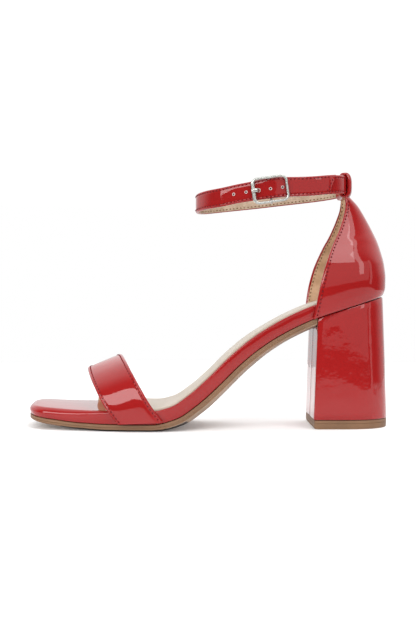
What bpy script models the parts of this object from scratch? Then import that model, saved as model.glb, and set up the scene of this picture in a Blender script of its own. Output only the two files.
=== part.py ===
"""Block heel sandal with an ankle strap: the left shoe of a pair, in separate named pieces.

The toe points along -X, the heel along +X, the outer (lateral) side along -Y and the inner
(medial) side along +Y. The shoe stands on Z = 0. Every size below is in millimetres.
"""

import math
from collections import namedtuple
from functools import lru_cache

import bmesh
import bpy
from mathutils import Vector

NAME = "block_heel_sandal"
MM = 0.001
GAP = 0.3

# Sole stack
TOE_X = -109.8
TOE_CAP = 17.0
TOE_SQUARE = 3.2
TOE_SLANT = 0.085
TOE_SLANT_FROM = -72.0
SEAT_X = 62.0
SEAT_BACK = 104.9
SEAT_CAP = 42.8
SEAT_SQUARE = 2.8
SEAT_FLARE = 0.040
SHOULDER_TOE = 3.8
SHOULDER_WAIST = 0.9
SHOULDER_END = -38.0
SOCK_FRONT = -62.5
SOCK_EDGE = 0.9
SOCK_INSET = 2.4
SOCK_CROWN = 1.4
SOCK_FLAT_FROM = 14.0
SOCK_FLAT_TO = 50.0

# Heel
SEAT_DEPTH = 7.7
BREAST_TOP = 65.4
BREAST_BOTTOM = 62.9
HEEL_BACK_TOP = 107.5
HEEL_BACK_BOTTOM = 110.0
HEEL_HALF_TOP = 25.8
HEEL_HALF_BOTTOM = 25.6
HEEL_CAP = 30.0
HEEL_SQUARE = 2.4
TOP_PIECE = 5.2
TOP_PIECE_BEVEL = 1.4

# Upper
STRAP_WALL = 1.8
STRAP_CLEAR = 2.1
COUNTER_WALL = 1.9
COUNTER_SQUARE = 2.8
COUNTER_LEAD = 1.7

# Ankle strap, loop and buckle
ANKLE_CENTRE = 39.2
ANKLE_LONG = 46.8
ANKLE_HALF = 29.0
ANKLE_SQUARE = 2.25
ANKLE_WIDTH = 11.4
ANKLE_WALL = 2.0
LAYER = ANKLE_WALL + GAP
LAYER_FROM = 195.0
LAYER_TO = 245.0
TIP_LOW_X = 70.5
TIP_HIGH_X = 75.5
BUCKLE_X = 36.5
BUCKLE_LONG = 21.8
BUCKLE_HIGH = 16.0
BUCKLE_DROP = 0.5
BUCKLE_WIRE = 0.8
BUCKLE_CORNER = 2.4
BAR_WIRE = 0.7
PRONG_WIRE = 0.6
HOLE_PITCH = 7.0
HOLE_RADIUS = 1.0
PRONG_HOLE_RADIUS = 1.65
PRONG_HOLE_X = 29.8
LOOP_TURN = 17.0
LOOP_WALL = 1.6
LOOP_SIDE_CLEAR = 1.2
LOOP_EDGE_CLEAR = 0.35
LOOP_BULGE = 0.2
LOOP_FLAT_SQUARE = 3.6
LOOP_ROUND_SQUARE = 2.8

SoleRow = namedtuple("SoleRow", "name x bed lateral medial midsole outsole bevel")
SOLE_ROWS = (
    SoleRow("toe tip", -110.0, 14.6, 24.6, 28.6, 5.8, 2.8, 2.2),
    SoleRow("toe", -95.0, 13.2, 28.2, 31.6, 6.4, 3.3, 2.2),
    SoleRow("toe root", -76.0, 12.3, 33.0, 35.6, 7.4, 3.7, 1.4),
    SoleRow("tread front", -58.0, 12.0, 36.6, 38.0, 7.7, 4.0, 1.0),
    SoleRow("ball", -46.0, 12.0, 38.2, 38.6, 7.7, 4.0, 1.0),
    SoleRow("tread back", -33.0, 12.0, 38.8, 36.9, 7.7, 4.0, 1.0),
    SoleRow("bend", -22.0, 14.4, 38.2, 32.8, 7.7, 4.6, 2.5),
    SoleRow("rise", -10.6, 21.7, 36.1, 27.4, 7.7, 5.4, 5.5),
    SoleRow("waist front", 1.2, 32.1, 33.4, 22.8, 7.7, 5.7, 8.0),
    SoleRow("waist", 13.0, 43.6, 31.2, 21.2, 7.7, 5.5, 9.0),
    SoleRow("waist back", 25.0, 53.5, 29.4, 21.3, 7.7, 5.5, 9.0),
    SoleRow("shank", 36.7, 61.2, 28.1, 22.4, 7.7, 5.1, 9.0),
    SoleRow("seat front", 48.6, 67.6, 27.0, 24.0, 7.7, 4.9, 9.0),
    SoleRow("breast", 62.0, 73.4, 25.8, 25.8, 7.7, 4.9, 9.0),
    SoleRow("seat", 76.0, 78.0, 25.8, 25.8, 7.7, 4.9, 9.0),
    SoleRow("heel end", 106.0, 87.3, 25.8, 25.8, 7.7, 4.9, 9.0),
)

StrapRow = namedtuple("StrapRow", "name front_x front_z rear_x rear_z spread")
STRAP_ROWS = (
    StrapRow("lateral hem", -52.4, 4.5, -25.8, 5.8, -1.0),
    StrapRow("lateral wall", -57.8, 10.9, -33.0, 15.5, -1.0),
    StrapRow("lateral turn", -62.6, 18.0, -39.1, 25.5, -0.955),
    StrapRow("lateral shoulder", -67.4, 26.0, -44.7, 34.5, -0.80),
    StrapRow("lateral crown", -71.6, 32.0, -49.3, 40.7, -0.48),
    StrapRow("crown", -74.6, 35.6, -53.4, 43.9, 0.0),
    StrapRow("medial crown", -75.0, 34.8, -56.2, 42.5, 0.46),
    StrapRow("medial shoulder", -73.0, 28.8, -56.2, 34.2, 0.82),
    StrapRow("medial turn", -71.8, 20.5, -54.0, 23.4, 0.965),
    StrapRow("medial wall", -72.4, 12.2, -51.0, 12.8, 1.0),
    StrapRow("medial hem", -73.0, 4.6, -49.0, 4.5, 1.0),
)

CounterRow = namedtuple("CounterRow", "name front_x front_rise back_x back_rise half wrap")
COUNTER_ROWS = (
    CounterRow("seat edge", 62.3, 0.0, 107.1, 0.0, 28.0, 90.0),
    CounterRow("bed", 64.1, 8.3, 108.8, 4.6, 29.2, 90.0),
    CounterRow("swell", 66.3, 18.9, 108.9, 10.5, 30.0, 90.0),
    CounterRow("ankle", 69.8, 30.4, 108.0, 19.0, 28.0, 90.0),
    CounterRow("cut", 75.0, 41.6, 104.5, 33.2, 21.2, 88.0),
    CounterRow("neck", 78.6, 47.6, 101.3, 41.5, 17.4, 82.0),
    CounterRow("tab foot", 82.0, 55.4, 96.5, 52.3, 13.4, 72.0),
    CounterRow("tab", 83.9, 61.8, 92.4, 60.2, 11.2, 60.0),
    CounterRow("tab top", 84.3, 66.9, 87.7, 66.7, 10.2, 50.0),
)

AnkleRow = namedtuple("AnkleRow", "name x lateral medial")
ANKLE_ROWS = (
    AnkleRow("front", -7.6, 131.0, 131.0),
    AnkleRow("instep", 6.0, 131.9, 133.5),
    AnkleRow("holes", 20.0, 134.3, 135.3),
    AnkleRow("buckle", 34.0, 136.2, 136.9),
    AnkleRow("buckle back", 46.0, 137.7, 138.3),
    AnkleRow("tip", 60.0, 138.5, 139.7),
    AnkleRow("loop front", 75.0, 140.4, 141.0),
    AnkleRow("back", 86.0, 141.8, 141.8),
)

Finish = namedtuple("Finish", "name colour metallic roughness")
PATENT = Finish("red_patent", (0.42, 0.016, 0.018, 1.0), 0.0, 0.15)
RUBBER = Finish("tan_rubber", (0.30, 0.18, 0.09, 1.0), 0.0, 0.6)
SOCK = Finish("beige_sock", (0.66, 0.56, 0.43, 1.0), 0.0, 0.7)
METAL = Finish("bright_metal", (0.75, 0.75, 0.76, 1.0), 1.0, 0.15)


@lru_cache(maxsize=None)
def tangents(stations, values):
    """Slopes of the shape-keeping cubic through a run of values."""
    steps = [b - a for a, b in zip(stations, stations[1:])]
    rises = [(b - a) / s for a, b, s in zip(values, values[1:], steps)]
    slopes = [rises[0]]
    for before, after, near, far in zip(rises, rises[1:], steps, steps[1:]):
        if before * after <= 0.0:
            slopes.append(0.0)
            continue
        first = 2.0 * far + near
        second = far + 2.0 * near
        slopes.append((first + second) / (first / before + second / after))
    slopes.append(rises[-1])
    return tuple(slopes)


def flow(stations, values, at):
    """Smooth value at a station, running on straight past both ends."""
    slopes = tangents(stations, values)
    if at <= stations[0]:
        return values[0] + slopes[0] * (at - stations[0])
    if at >= stations[-1]:
        return values[-1] + slopes[-1] * (at - stations[-1])
    k = max(i for i in range(len(stations) - 1) if stations[i] <= at)
    step = stations[k + 1] - stations[k]
    t = (at - stations[k]) / step
    start = (1.0 + 2.0 * t) * (1.0 - t) ** 2 * values[k] + t * (1.0 - t) ** 2 * step * slopes[k]
    end = t * t * (3.0 - 2.0 * t) * values[k + 1] + t * t * (t - 1.0) * step * slopes[k + 1]
    return start + end


@lru_cache(maxsize=None)
def column(rows, name):
    return tuple(getattr(row, name) for row in rows)


def sole(name, x):
    """One column of the sole table at a length."""
    return flow(column(SOLE_ROWS, "x"), column(SOLE_ROWS, name), x)


def spread_rows(rows, name, v):
    """One column of a row table at a part v of the way through its rows."""
    return flow(tuple(range(len(rows))), column(rows, name), v * (len(rows) - 1))


def ease(low, high, at):
    t = min(max((at - low) / (high - low), 0.0), 1.0)
    return t * t * (3.0 - 2.0 * t)


def mix(a, b, t):
    return a + (b - a) * t


@lru_cache(maxsize=None)
def layer(x, depth):
    """Height of the layer that lies a depth under the bed, square to it."""
    station = x
    for _ in range(12):
        slope = sole("bed", station + 0.5) - sole("bed", station - 0.5)
        station = x - depth * slope / math.hypot(1.0, slope)
    slope = sole("bed", station + 0.5) - sole("bed", station - 0.5)
    return sole("bed", station) - depth / math.hypot(1.0, slope)


def super_arc(angle, square):
    """Point of a unit superellipse."""
    c = math.cos(angle)
    s = math.sin(angle)
    power = 2.0 / square
    return math.copysign(abs(c) ** power, c), math.copysign(abs(s) ** power, s)


End = namedtuple("End", "x length square steps")


def sole_loop(front, back, steps):
    """Closed plan outline: front tip, lateral side, back tip, medial side."""
    stations = []
    for i in range(front.steps):
        c, s = super_arc(0.5 * math.pi * i / front.steps, front.square)
        stations.append((front.x + front.length * (1.0 - c), s))
    start = front.x + front.length
    stop = back.x - back.length
    stations += [(mix(start, stop, i / steps), 1.0) for i in range(steps)]
    for i in range(back.steps + 1):
        s, c = super_arc(0.5 * math.pi * i / back.steps, back.square)
        stations.append((stop + back.length * c, s if i < back.steps else 0.0))
    lateral = [(x, -sole("lateral", x) * k) for x, k in stations]
    medial = [(x, sole("medial", x) * k) for x, k in stations[1:-1]]
    return lateral + medial[::-1]


def inset_loop(loop, amount):
    """Outline drawn in by an amount that may change along the length."""
    moved = []
    for before, here, after in zip(loop[-1:] + loop[:-1], loop, loop[1:] + loop[:1]):
        run = Vector(after) - Vector(before)
        inward = Vector((-run.y, run.x)).normalized()
        moved.append(Vector(here) + inward * amount(here[0]))
    return moved


def slant(point):
    """The toe is cut a little further forward on its medial side."""
    part = min(max((TOE_SLANT_FROM - point.x) / (TOE_SLANT_FROM - TOE_X), 0.0), 1.0)
    return Vector((point.x - TOE_SLANT * point.y * part, point.y))


def sole_ring(loop, inset, depth, flare=0.0):
    """Outline at a depth under the bed, opened out at the seat by a flare."""
    ring = []
    for point in inset_loop(loop, inset):
        spot = slant(point)
        grow = SEAT_FLARE * flare * ease(SEAT_X, SEAT_X + 14.0, spot.x)
        x = spot.x + (spot.x - SEAT_X) * grow
        y = spot.y * (1.0 + grow)
        ring.append(Vector((x, y, layer(round(x, 4), depth(x)))))
    return ring


def plain(value):
    return lambda x: value


def band(bm, lower, upper):
    """Wall of quads between two rings of corners."""
    for a, b, c, d in zip(lower, lower[1:] + lower[:1], upper[1:] + upper[:1], upper):
        bm.faces.new((a, b, c, d))


def cap(bm, ring, crown=None, lanes=1):
    """Rungs across a ring from side to side, raised in the middle by a crown."""
    half = len(ring) // 2
    rails = [[ring[0]] * (lanes + 1)]
    for i in range(1, half):
        left = ring[i]
        right = ring[-i]
        rail = [left]
        for k in range(1, lanes):
            t = k / lanes
            rise = crown(left.co.x) * 4.0 * t * (1.0 - t) if crown else 0.0
            rail.append(bm.verts.new(left.co.lerp(right.co, t) + Vector((0.0, 0.0, rise))))
        rails.append(rail + [right])
    rails.append([ring[half]] * (lanes + 1))
    for near, far in zip(rails, rails[1:]):
        for k in range(lanes):
            corners = []
            for corner in (near[k], near[k + 1], far[k + 1], far[k]):
                if corner not in corners:
                    corners.append(corner)
            bm.faces.new(corners)


def slab(rings, crown=None, lanes=1):
    """Closed body through a stack of paired rings, lowest first."""
    bm = bmesh.new()
    stack = [[bm.verts.new(point) for point in ring] for ring in rings]
    for lower, upper in zip(stack, stack[1:]):
        band(bm, lower, upper)
    cap(bm, stack[0])
    cap(bm, stack[-1], crown, lanes)
    return bm


def sheet(surface, columns, rows, closed=False):
    """Grid of corners laid on a surface given by two running numbers from 0 to 1."""
    bm = bmesh.new()
    bmesh.ops.create_grid(bm, x_segments=columns, y_segments=rows, size=0.5)
    for vert in bm.verts:
        vert.co = surface(vert.co.x + 0.5, vert.co.y + 0.5)
    if closed:
        bmesh.ops.remove_doubles(bm, verts=bm.verts, dist=0.00005)
    return bm


def material(finish):
    found = bpy.data.materials.get(finish.name)
    if found:
        return found
    made = bpy.data.materials.new(finish.name)
    made.use_nodes = True
    made.diffuse_color = finish.colour
    shader = made.node_tree.nodes["Principled BSDF"]
    shader.inputs["Base Color"].default_value = finish.colour
    shader.inputs["Metallic"].default_value = finish.metallic
    shader.inputs["Roughness"].default_value = finish.roughness
    return made


def group(name):
    made = bpy.data.collections.new(name)
    bpy.context.scene.collection.children.link(made)
    return made


def place_mesh(name, mesh, finish, collection):
    piece = bpy.data.objects.new(name, mesh)
    collection.objects.link(piece)
    mesh.materials.append(material(finish))
    mesh.shade_smooth()
    mesh.set_sharp_from_angle(angle=math.radians(40.0))
    return piece


def place(name, bm, finish, collection, solid=True):
    """Mesh object in metres from a body drawn in millimetres."""
    bmesh.ops.scale(bm, vec=(MM, MM, MM), verts=bm.verts)
    if solid:
        bmesh.ops.recalc_face_normals(bm, faces=bm.faces)
    mesh = bpy.data.meshes.new(name)
    bm.to_mesh(mesh)
    bm.free()
    return place_mesh(name, mesh, finish, collection)


def thicken(piece, wall):
    """Wall grown inward from the outer face."""
    grown = piece.modifiers.new("wall", "SOLIDIFY")
    grown.thickness = wall * MM
    grown.offset = -1.0
    grown.use_even_offset = True
    grown.use_quality_normals = True


def wire(name, points, radius, closed, finish, collection):
    """Round wire bent along a run of points."""
    bend = bpy.data.curves.new(name, "CURVE")
    bend.dimensions = "3D"
    bend.bevel_depth = radius * MM
    bend.bevel_resolution = 3
    bend.use_fill_caps = True
    run = bend.splines.new("POLY")
    run.points.add(len(points) - 1)
    for spot, point in zip(run.points, points):
        spot.co = (point.x * MM, point.y * MM, point.z * MM, 1.0)
    run.use_cyclic_u = closed
    draft = bpy.data.objects.new(name + "_path", bend)
    collection.objects.link(draft)
    bpy.context.view_layer.update()
    evaluated = draft.evaluated_get(bpy.context.evaluated_depsgraph_get())
    mesh = bpy.data.meshes.new_from_object(evaluated)
    bpy.data.objects.remove(draft)
    bpy.data.curves.remove(bend)
    bm = bmesh.new()
    bm.from_mesh(mesh)
    bpy.data.meshes.remove(mesh)
    bmesh.ops.remove_doubles(bm, verts=bm.verts, dist=0.000002)
    bmesh.ops.scale(bm, vec=(1.0 / MM, 1.0 / MM, 1.0 / MM), verts=bm.verts)
    return place(name, bm, finish, collection)


def join(piece, other, operation):
    step = piece.modifiers.new(other.name, "BOOLEAN")
    step.operation = operation
    step.solver = "EXACT"
    step.object = other


def hide(piece):
    piece.hide_render = True
    piece.display_type = "WIRE"


TOE_END = End(TOE_X, TOE_CAP, TOE_SQUARE, 10)
SEAT_END = End(SEAT_BACK, SEAT_CAP, SEAT_SQUARE, 12)


def build_midsole(parts):
    """Wrapped footbed, its upper edge round at the toe and crisp along the waist."""
    loop = sole_loop(TOE_END, SEAT_END, 34)

    def shoulder(x):
        return mix(SHOULDER_TOE, SHOULDER_WAIST, ease(TOE_X + TOE_CAP, SHOULDER_END, x))

    def soft(amount):
        return lambda x: amount * shoulder(x) * (1.0 - ease(58.0, 70.0, x))

    def bottom(x):
        return sole("midsole", x)

    rings = (
        sole_ring(loop, plain(0.5), bottom, 0.0),
        sole_ring(loop, plain(0.0), lambda x: bottom(x) - 0.6, 0.1),
        sole_ring(loop, plain(0.0), shoulder, 0.6),
        sole_ring(loop, soft(0.3), lambda x: 0.3 * shoulder(x), 0.9),
        sole_ring(loop, soft(1.0), plain(0.0), 1.0),
    )
    return place("midsole", slab(rings), PATENT, parts)


def build_outsole(parts):
    """Tread from the toe to the heel breast, thickest and bevelled at the waist."""
    back = End(BREAST_TOP + 18.0, 1.0, 8.0, 2)
    loop = sole_loop(TOE_END, back, 36)

    def top(x):
        return sole("midsole", x) + GAP

    def side(x):
        return top(x) + min(0.78 * sole("outsole", x), 3.2)

    def bottom(x):
        return top(x) + sole("outsole", x)

    def waist(x):
        return sole("bevel", x) + 0.5

    rings = (
        sole_ring(loop, waist, bottom),
        sole_ring(loop, plain(0.5), side),
        sole_ring(loop, plain(0.4), top),
    )
    bm = slab(rings)
    bmesh.ops.recalc_face_normals(bm, faces=bm.faces)
    lean = BREAST_TOP - BREAST_BOTTOM
    high = layer(BREAST_TOP, SEAT_DEPTH + GAP)
    normal = Vector((high, 0.0, -lean)).normalized()
    seam = Vector((BREAST_TOP, 0.0, high)) - normal * GAP
    every = bm.verts[:] + bm.edges[:] + bm.faces[:]
    cut = bmesh.ops.bisect_plane(bm, geom=every, plane_co=seam, plane_no=normal, clear_outer=True)
    rim = [edge for edge in cut["geom_cut"] if isinstance(edge, bmesh.types.BMEdge)]
    bmesh.ops.edgeloop_fill(bm, edges=rim)
    return place("outsole", bm, RUBBER, parts)


def build_insole(parts):
    """Padded sock, flat in the seat, its front edge hidden under the strap."""
    front = End(SOCK_FRONT, 4.0, 6.0, 3)
    loop = sole_loop(front, SEAT_END, 30)

    def drawn(extra):
        return lambda x: mix(SOCK_INSET, 0.6, ease(56.0, 72.0, x)) + extra

    def crown(x):
        return SOCK_CROWN * (1.0 - ease(SOCK_FLAT_FROM, SOCK_FLAT_TO, x))

    rings = (
        sole_ring(loop, drawn(0.0), plain(-GAP), 1.0),
        sole_ring(loop, drawn(0.0), plain(-GAP - 0.6 * SOCK_EDGE), 1.0),
        sole_ring(loop, drawn(0.7), plain(-GAP - SOCK_EDGE), 1.0),
    )
    return place("insole", slab(rings, crown, 6), SOCK, parts)


def heel_outline(breast, back, half, draw):
    """Plan of the heel: flat breast, straight sides, round back."""
    front = breast + draw
    rear = back - draw
    wide = half - draw
    bend = rear - HEEL_CAP
    lateral = [(front, 0.0), (front, -0.6 * wide), (front, -wide + 0.8), (front + 0.8, -wide)]
    lateral += [(mix(front, bend, 0.5), -wide)]
    for i in range(11):
        s, c = super_arc(0.5 * math.pi * i / 10, HEEL_SQUARE)
        lateral.append((bend + HEEL_CAP * c, -wide * s if i < 10 else 0.0))
    return lateral + [(x, -y) for x, y in lateral[-2:0:-1]]


def heel_ring(part, draw, drop=0.0):
    """Outline of the block a part of the way up from the top piece to the seat."""
    low = heel_outline(BREAST_BOTTOM, HEEL_BACK_BOTTOM, HEEL_HALF_BOTTOM, draw)
    high = heel_outline(BREAST_TOP, HEEL_BACK_TOP, HEEL_HALF_TOP, draw)
    foot = TOP_PIECE + GAP
    ring = []
    for (x0, y0), (x1, y1) in zip(low, high):
        seat = layer(round(x1, 4), SEAT_DEPTH + GAP)
        ring.append(Vector((mix(x0, x1, part), mix(y0, y1, part), mix(foot, seat, part) - drop)))
    return ring


def build_heel(parts):
    """Covered block and the lift under it."""
    block = (
        heel_ring(0.0, 0.5),
        heel_ring(0.0, 0.0, -0.5),
        heel_ring(1.0, 0.0, 0.7),
        heel_ring(1.0, 0.7),
    )
    place("heel_block", slab(block), PATENT, parts)
    outline = heel_outline(BREAST_BOTTOM, HEEL_BACK_BOTTOM, HEEL_HALF_BOTTOM, 0.3)
    foot = heel_outline(BREAST_BOTTOM + TOP_PIECE_BEVEL, HEEL_BACK_BOTTOM, HEEL_HALF_BOTTOM, 0.7)
    lift = [
        [Vector((x, y, 0.0)) for x, y in foot],
        [Vector((x, y, 1.6)) for x, y in outline],
        [Vector((x, y, TOP_PIECE)) for x, y in outline],
    ]
    return place("heel_top_piece", slab(lift), RUBBER, parts)


def vamp_point(u, v):
    """Outer face of the front strap: u from toe edge to rear edge, v from lateral to medial hem."""
    x = mix(spread_rows(STRAP_ROWS, "front_x", v), spread_rows(STRAP_ROWS, "rear_x", v), u)
    z = mix(spread_rows(STRAP_ROWS, "front_z", v), spread_rows(STRAP_ROWS, "rear_z", v), u)
    lean = spread_rows(STRAP_ROWS, "spread", v)
    edge = sole("lateral", x) if lean < 0.0 else sole("medial", x)
    return Vector((x, lean * (edge + STRAP_CLEAR), z))


def counter_point(u, v):
    """Outer face of the back: u round the heel from lateral to medial edge, v up from the seat.

    The medial edge leads the lateral one, most at half height.
    """
    wrap = math.radians(spread_rows(COUNTER_ROWS, "wrap", v))
    back = spread_rows(COUNTER_ROWS, "back_x", v)
    front = spread_rows(COUNTER_ROWS, "front_x", v)
    c, s = super_arc(mix(-wrap, wrap, u), COUNTER_SQUARE)
    c_end, s_end = super_arc(wrap, COUNTER_SQUARE)
    part = (c - c_end) / (1.0 - c_end)
    lead = COUNTER_LEAD * 4.0 * v * (1.0 - v) if s > 0.0 else 0.0
    x = mix(front - lead, back, part)
    front_rise = spread_rows(COUNTER_ROWS, "front_rise", v)
    rise = mix(front_rise, spread_rows(COUNTER_ROWS, "back_rise", v), part)
    y = spread_rows(COUNTER_ROWS, "half", v) * s / s_end
    return Vector((x, y, layer(round(x, 4), SEAT_DEPTH) + rise))


def ankle_frame(angle):
    """Place, run and outward direction on the strap's inner layer, at its lower edge."""
    def spot(turn):
        c, s = super_arc(math.radians(turn), ANKLE_SQUARE)
        x = ANKLE_CENTRE + ANKLE_LONG * c
        stations = column(ANKLE_ROWS, "x")
        lateral = flow(stations, column(ANKLE_ROWS, "lateral"), x)
        medial = flow(stations, column(ANKLE_ROWS, "medial"), x)
        return Vector((x, ANKLE_HALF * s, mix(lateral, medial, 0.5 * (s + 1.0))))

    run = (spot(angle + 0.5) - spot(angle - 0.5)).normalized()
    outward = Vector((run.y, -run.x, 0.0)).normalized()
    return spot(angle), run, outward


def ankle_turn(x, lap=0.0):
    """Angle of the strap's lateral side at a length."""
    part = (x - ANKLE_CENTRE) / ANKLE_LONG
    c = math.copysign(abs(part) ** (0.5 * ANKLE_SQUARE), part)
    return lap - math.degrees(math.acos(c))


ANKLE_START = ankle_turn(BUCKLE_X + BAR_WIRE + GAP + 0.9)
ANKLE_TIP_LOW = ankle_turn(TIP_LOW_X, 360.0)
ANKLE_TIP_HIGH = ankle_turn(TIP_HIGH_X, 360.0)


def ankle_point(u, v):
    """Outer face of the ankle strap, from its buckle end round the heel and front to its tip."""
    angle = mix(ANKLE_START, mix(ANKLE_TIP_LOW, ANKLE_TIP_HIGH, v), u)
    spot, _, outward = ankle_frame(angle)
    raised = LAYER * ease(LAYER_FROM, LAYER_TO, angle)
    return spot + outward * raised + Vector((0.0, 0.0, ANKLE_WIDTH * v))


def buckle_spot(along, up, out):
    """Point by the buckle, from the frame's middle: along the strap, up it, and out of its inner layer."""
    spot, run, outward = ankle_frame(ankle_turn(BUCKLE_X))
    middle = spot + Vector((0.0, 0.0, 0.5 * ANKLE_WIDTH - BUCKLE_DROP))
    return middle + run * along + outward.cross(run) * up + outward * out


def build_ankle_strap(parts, cutters):
    """Long strap in two layers at the buckle, with its row of holes."""
    strap = place("ankle_strap", sheet(ankle_point, 96, 2), PATENT, parts, solid=False)
    thicken(strap, ANKLE_WALL)
    for k in range(-2, 3):
        x = PRONG_HOLE_X + k * HOLE_PITCH
        spot, _, outward = ankle_frame(ankle_turn(x))
        deep = ANKLE_WALL + GAP
        radius = HOLE_RADIUS if k else PRONG_HOLE_RADIUS
        bpy.ops.mesh.primitive_cylinder_add(vertices=16, radius=radius * MM, depth=deep * MM)
        punch = bpy.context.object
        punch.name = "strap_hole_%d" % (k + 3)
        middle = spot + Vector((0.0, 0.0, 0.5 * ANKLE_WIDTH))
        punch.location = (middle + outward * (GAP + 0.5 * ANKLE_WALL)) * MM
        punch.rotation_mode = "QUATERNION"
        punch.rotation_quaternion = outward.to_track_quat("Z", "Y")
        for owner in list(punch.users_collection):
            owner.objects.unlink(punch)
        cutters.objects.link(punch)
        hide(punch)
        join(strap, punch, "DIFFERENCE")
    return strap


def loop_point(u, v):
    """Outer face of the strap loop, bulged at the back: u along the strap, v round the loop."""
    turn = mix(-LOOP_TURN, LOOP_TURN, u)
    spot, _, outward = ankle_frame(turn)
    thick = 0.5 * ANKLE_WALL + LOOP_SIDE_CLEAR + LOOP_WALL
    high = 0.5 * ANKLE_WIDTH + LOOP_EDGE_CLEAR + LOOP_WALL
    angle = 2.0 * math.pi * v
    if math.cos(angle) > 0.0:
        thick += LOOP_BULGE
        c, s = super_arc(angle, LOOP_ROUND_SQUARE)
    else:
        c, s = super_arc(angle, LOOP_FLAT_SQUARE)
    middle = spot - outward * 0.5 * ANKLE_WALL + Vector((0.0, 0.0, 0.5 * ANKLE_WIDTH))
    return middle + outward * (thick * c) + Vector((0.0, 0.0, high * s))


def build_buckle(parts, cutters):
    """Bright frame with a bar across its middle and a pin laid on its toe side."""
    out = LAYER + GAP + BUCKLE_WIRE
    half_long = 0.5 * BUCKLE_LONG - BUCKLE_WIRE
    half_high = 0.5 * BUCKLE_HIGH - BUCKLE_WIRE
    path = []
    for quarter in range(4):
        along = half_long - BUCKLE_CORNER if quarter in (0, 3) else BUCKLE_CORNER - half_long
        up = half_high - BUCKLE_CORNER if quarter in (0, 1) else BUCKLE_CORNER - half_high
        for k in range(5):
            angle = 0.5 * math.pi * (quarter + k / 4.0)
            path.append((along + BUCKLE_CORNER * math.cos(angle), up + BUCKLE_CORNER * math.sin(angle)))
    ring = [buckle_spot(along, up, out) for along, up in path]
    frame = wire("buckle_frame", ring, BUCKLE_WIRE, True, METAL, parts)
    bracket = ((-half_high, out), (-half_high, 0.4 * out), (0.1 - half_high, -BAR_WIRE))
    bracket += tuple((-up, deep) for up, deep in bracket[::-1])
    crossing = [buckle_spot(0.0, up, deep) for up, deep in bracket]
    bar = wire("buckle_bar", crossing, BAR_WIRE, False, METAL, cutters)
    hide(bar)
    join(frame, bar, "UNION")
    rest = out + BUCKLE_WIRE + GAP + PRONG_WIRE
    hole = PRONG_HOLE_X - BUCKLE_X
    pin = (
        (-BAR_WIRE - GAP, -BAR_WIRE),
        (hole + 2.4, -BAR_WIRE),
        (hole + 1.2, -0.3),
        (hole - 0.9, LAYER + 0.6),
        (hole - 2.0, rest - 0.5),
        (-half_long, rest + 0.1),
        (-half_long - 0.8, rest),
    )
    wire("buckle_prong", [buckle_spot(x, BUCKLE_DROP, w) for x, w in pin], PRONG_WIRE, False, METAL, parts)
    return frame


def main():
    for old in list(bpy.data.objects):
        bpy.data.objects.remove(old, do_unlink=True)
    parts = group(NAME)
    cutters = group("cutters")
    build_outsole(parts)
    build_midsole(parts)
    build_insole(parts)
    build_heel(parts)
    vamp = place("vamp_strap", sheet(vamp_point, 8, 44), PATENT, parts, solid=False)
    thicken(vamp, STRAP_WALL)
    counter = place("heel_counter", sheet(counter_point, 32, 18), PATENT, parts, solid=False)
    thicken(counter, COUNTER_WALL)
    loop = place("strap_loop", sheet(loop_point, 6, 24, closed=True), PATENT, parts, solid=False)
    thicken(loop, LOOP_WALL)
    build_ankle_strap(parts, cutters)
    build_buckle(parts, cutters)


main()
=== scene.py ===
"""Looks of a red patent sandal with a block heel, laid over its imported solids.

The toe points along -X, the heel along +X, the outer (lateral) side along -Y. Tables and sizes
are in millimetres, and every mesh is scaled to metres as it is placed. Lamps, floor and camera
are in metres. A pair of lengths says where something starts to change and where it has changed.
"""

import math
from bisect import bisect_right
from collections import namedtuple
from functools import lru_cache

import bmesh
import bpy
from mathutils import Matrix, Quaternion, Vector, noise


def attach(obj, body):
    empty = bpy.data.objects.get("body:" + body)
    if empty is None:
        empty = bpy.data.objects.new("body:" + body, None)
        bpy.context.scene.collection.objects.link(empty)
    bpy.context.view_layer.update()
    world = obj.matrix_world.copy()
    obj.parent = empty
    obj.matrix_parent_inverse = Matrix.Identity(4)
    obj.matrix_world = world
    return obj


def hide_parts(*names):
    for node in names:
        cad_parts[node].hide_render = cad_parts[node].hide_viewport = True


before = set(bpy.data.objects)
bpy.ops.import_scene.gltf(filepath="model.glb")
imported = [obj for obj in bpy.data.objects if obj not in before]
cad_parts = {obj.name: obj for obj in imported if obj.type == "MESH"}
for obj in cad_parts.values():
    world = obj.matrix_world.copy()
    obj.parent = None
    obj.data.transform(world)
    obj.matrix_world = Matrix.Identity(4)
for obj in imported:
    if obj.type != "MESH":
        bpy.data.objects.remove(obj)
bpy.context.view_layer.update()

bl_info = {
    "name": "Block heel sandal",
    "version": (1, 0, 0),
    "blender": (4, 5, 0),
    "location": "View3D > Sidebar > Sandal",
    "description": "Patent leather, linings, stitching, sole and buckle of a block heel sandal",
    "category": "Add Mesh",
}

MM = 0.001
GAP = 0.3
PIECE_CREASE = 38.0
LEATHER_CREASE = 60.0
LIFT_CREASE = 25.0

# Plan of the sole
TOE_X = -109.8
TOE_CAP = 17.0
TOE_SQUARE = 3.2
TOE_SLANT = 0.085
TOE_SLANT_FROM = -72.0
SEAT_X = 62.0
SEAT_BACK = 104.9
SEAT_CAP = 42.8
SEAT_SQUARE = 2.8
SEAT_FLARE = 0.040
SEAT_FLARE_RUN = 14.0
SEAT_DEPTH = 7.7

# Footbed
SHOULDER_TOE = 3.8
SHOULDER_WAIST = 0.9
SHOULDER_END = -38.0
SHOULDER_MOST = 0.72
SHOULDER_FADE = (58.0, 70.0)
SHOULDER_STEPS = 8
SHOULDER_FLARE = 0.6
SIDE_INSET = 0.3
SIDE_LEVEL = 0.55
SIDE_FLARE = 0.35
TOE_PAD_CROWN = 0.55
TOE_PAD_FADE = (-72.0, -64.0)

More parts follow.
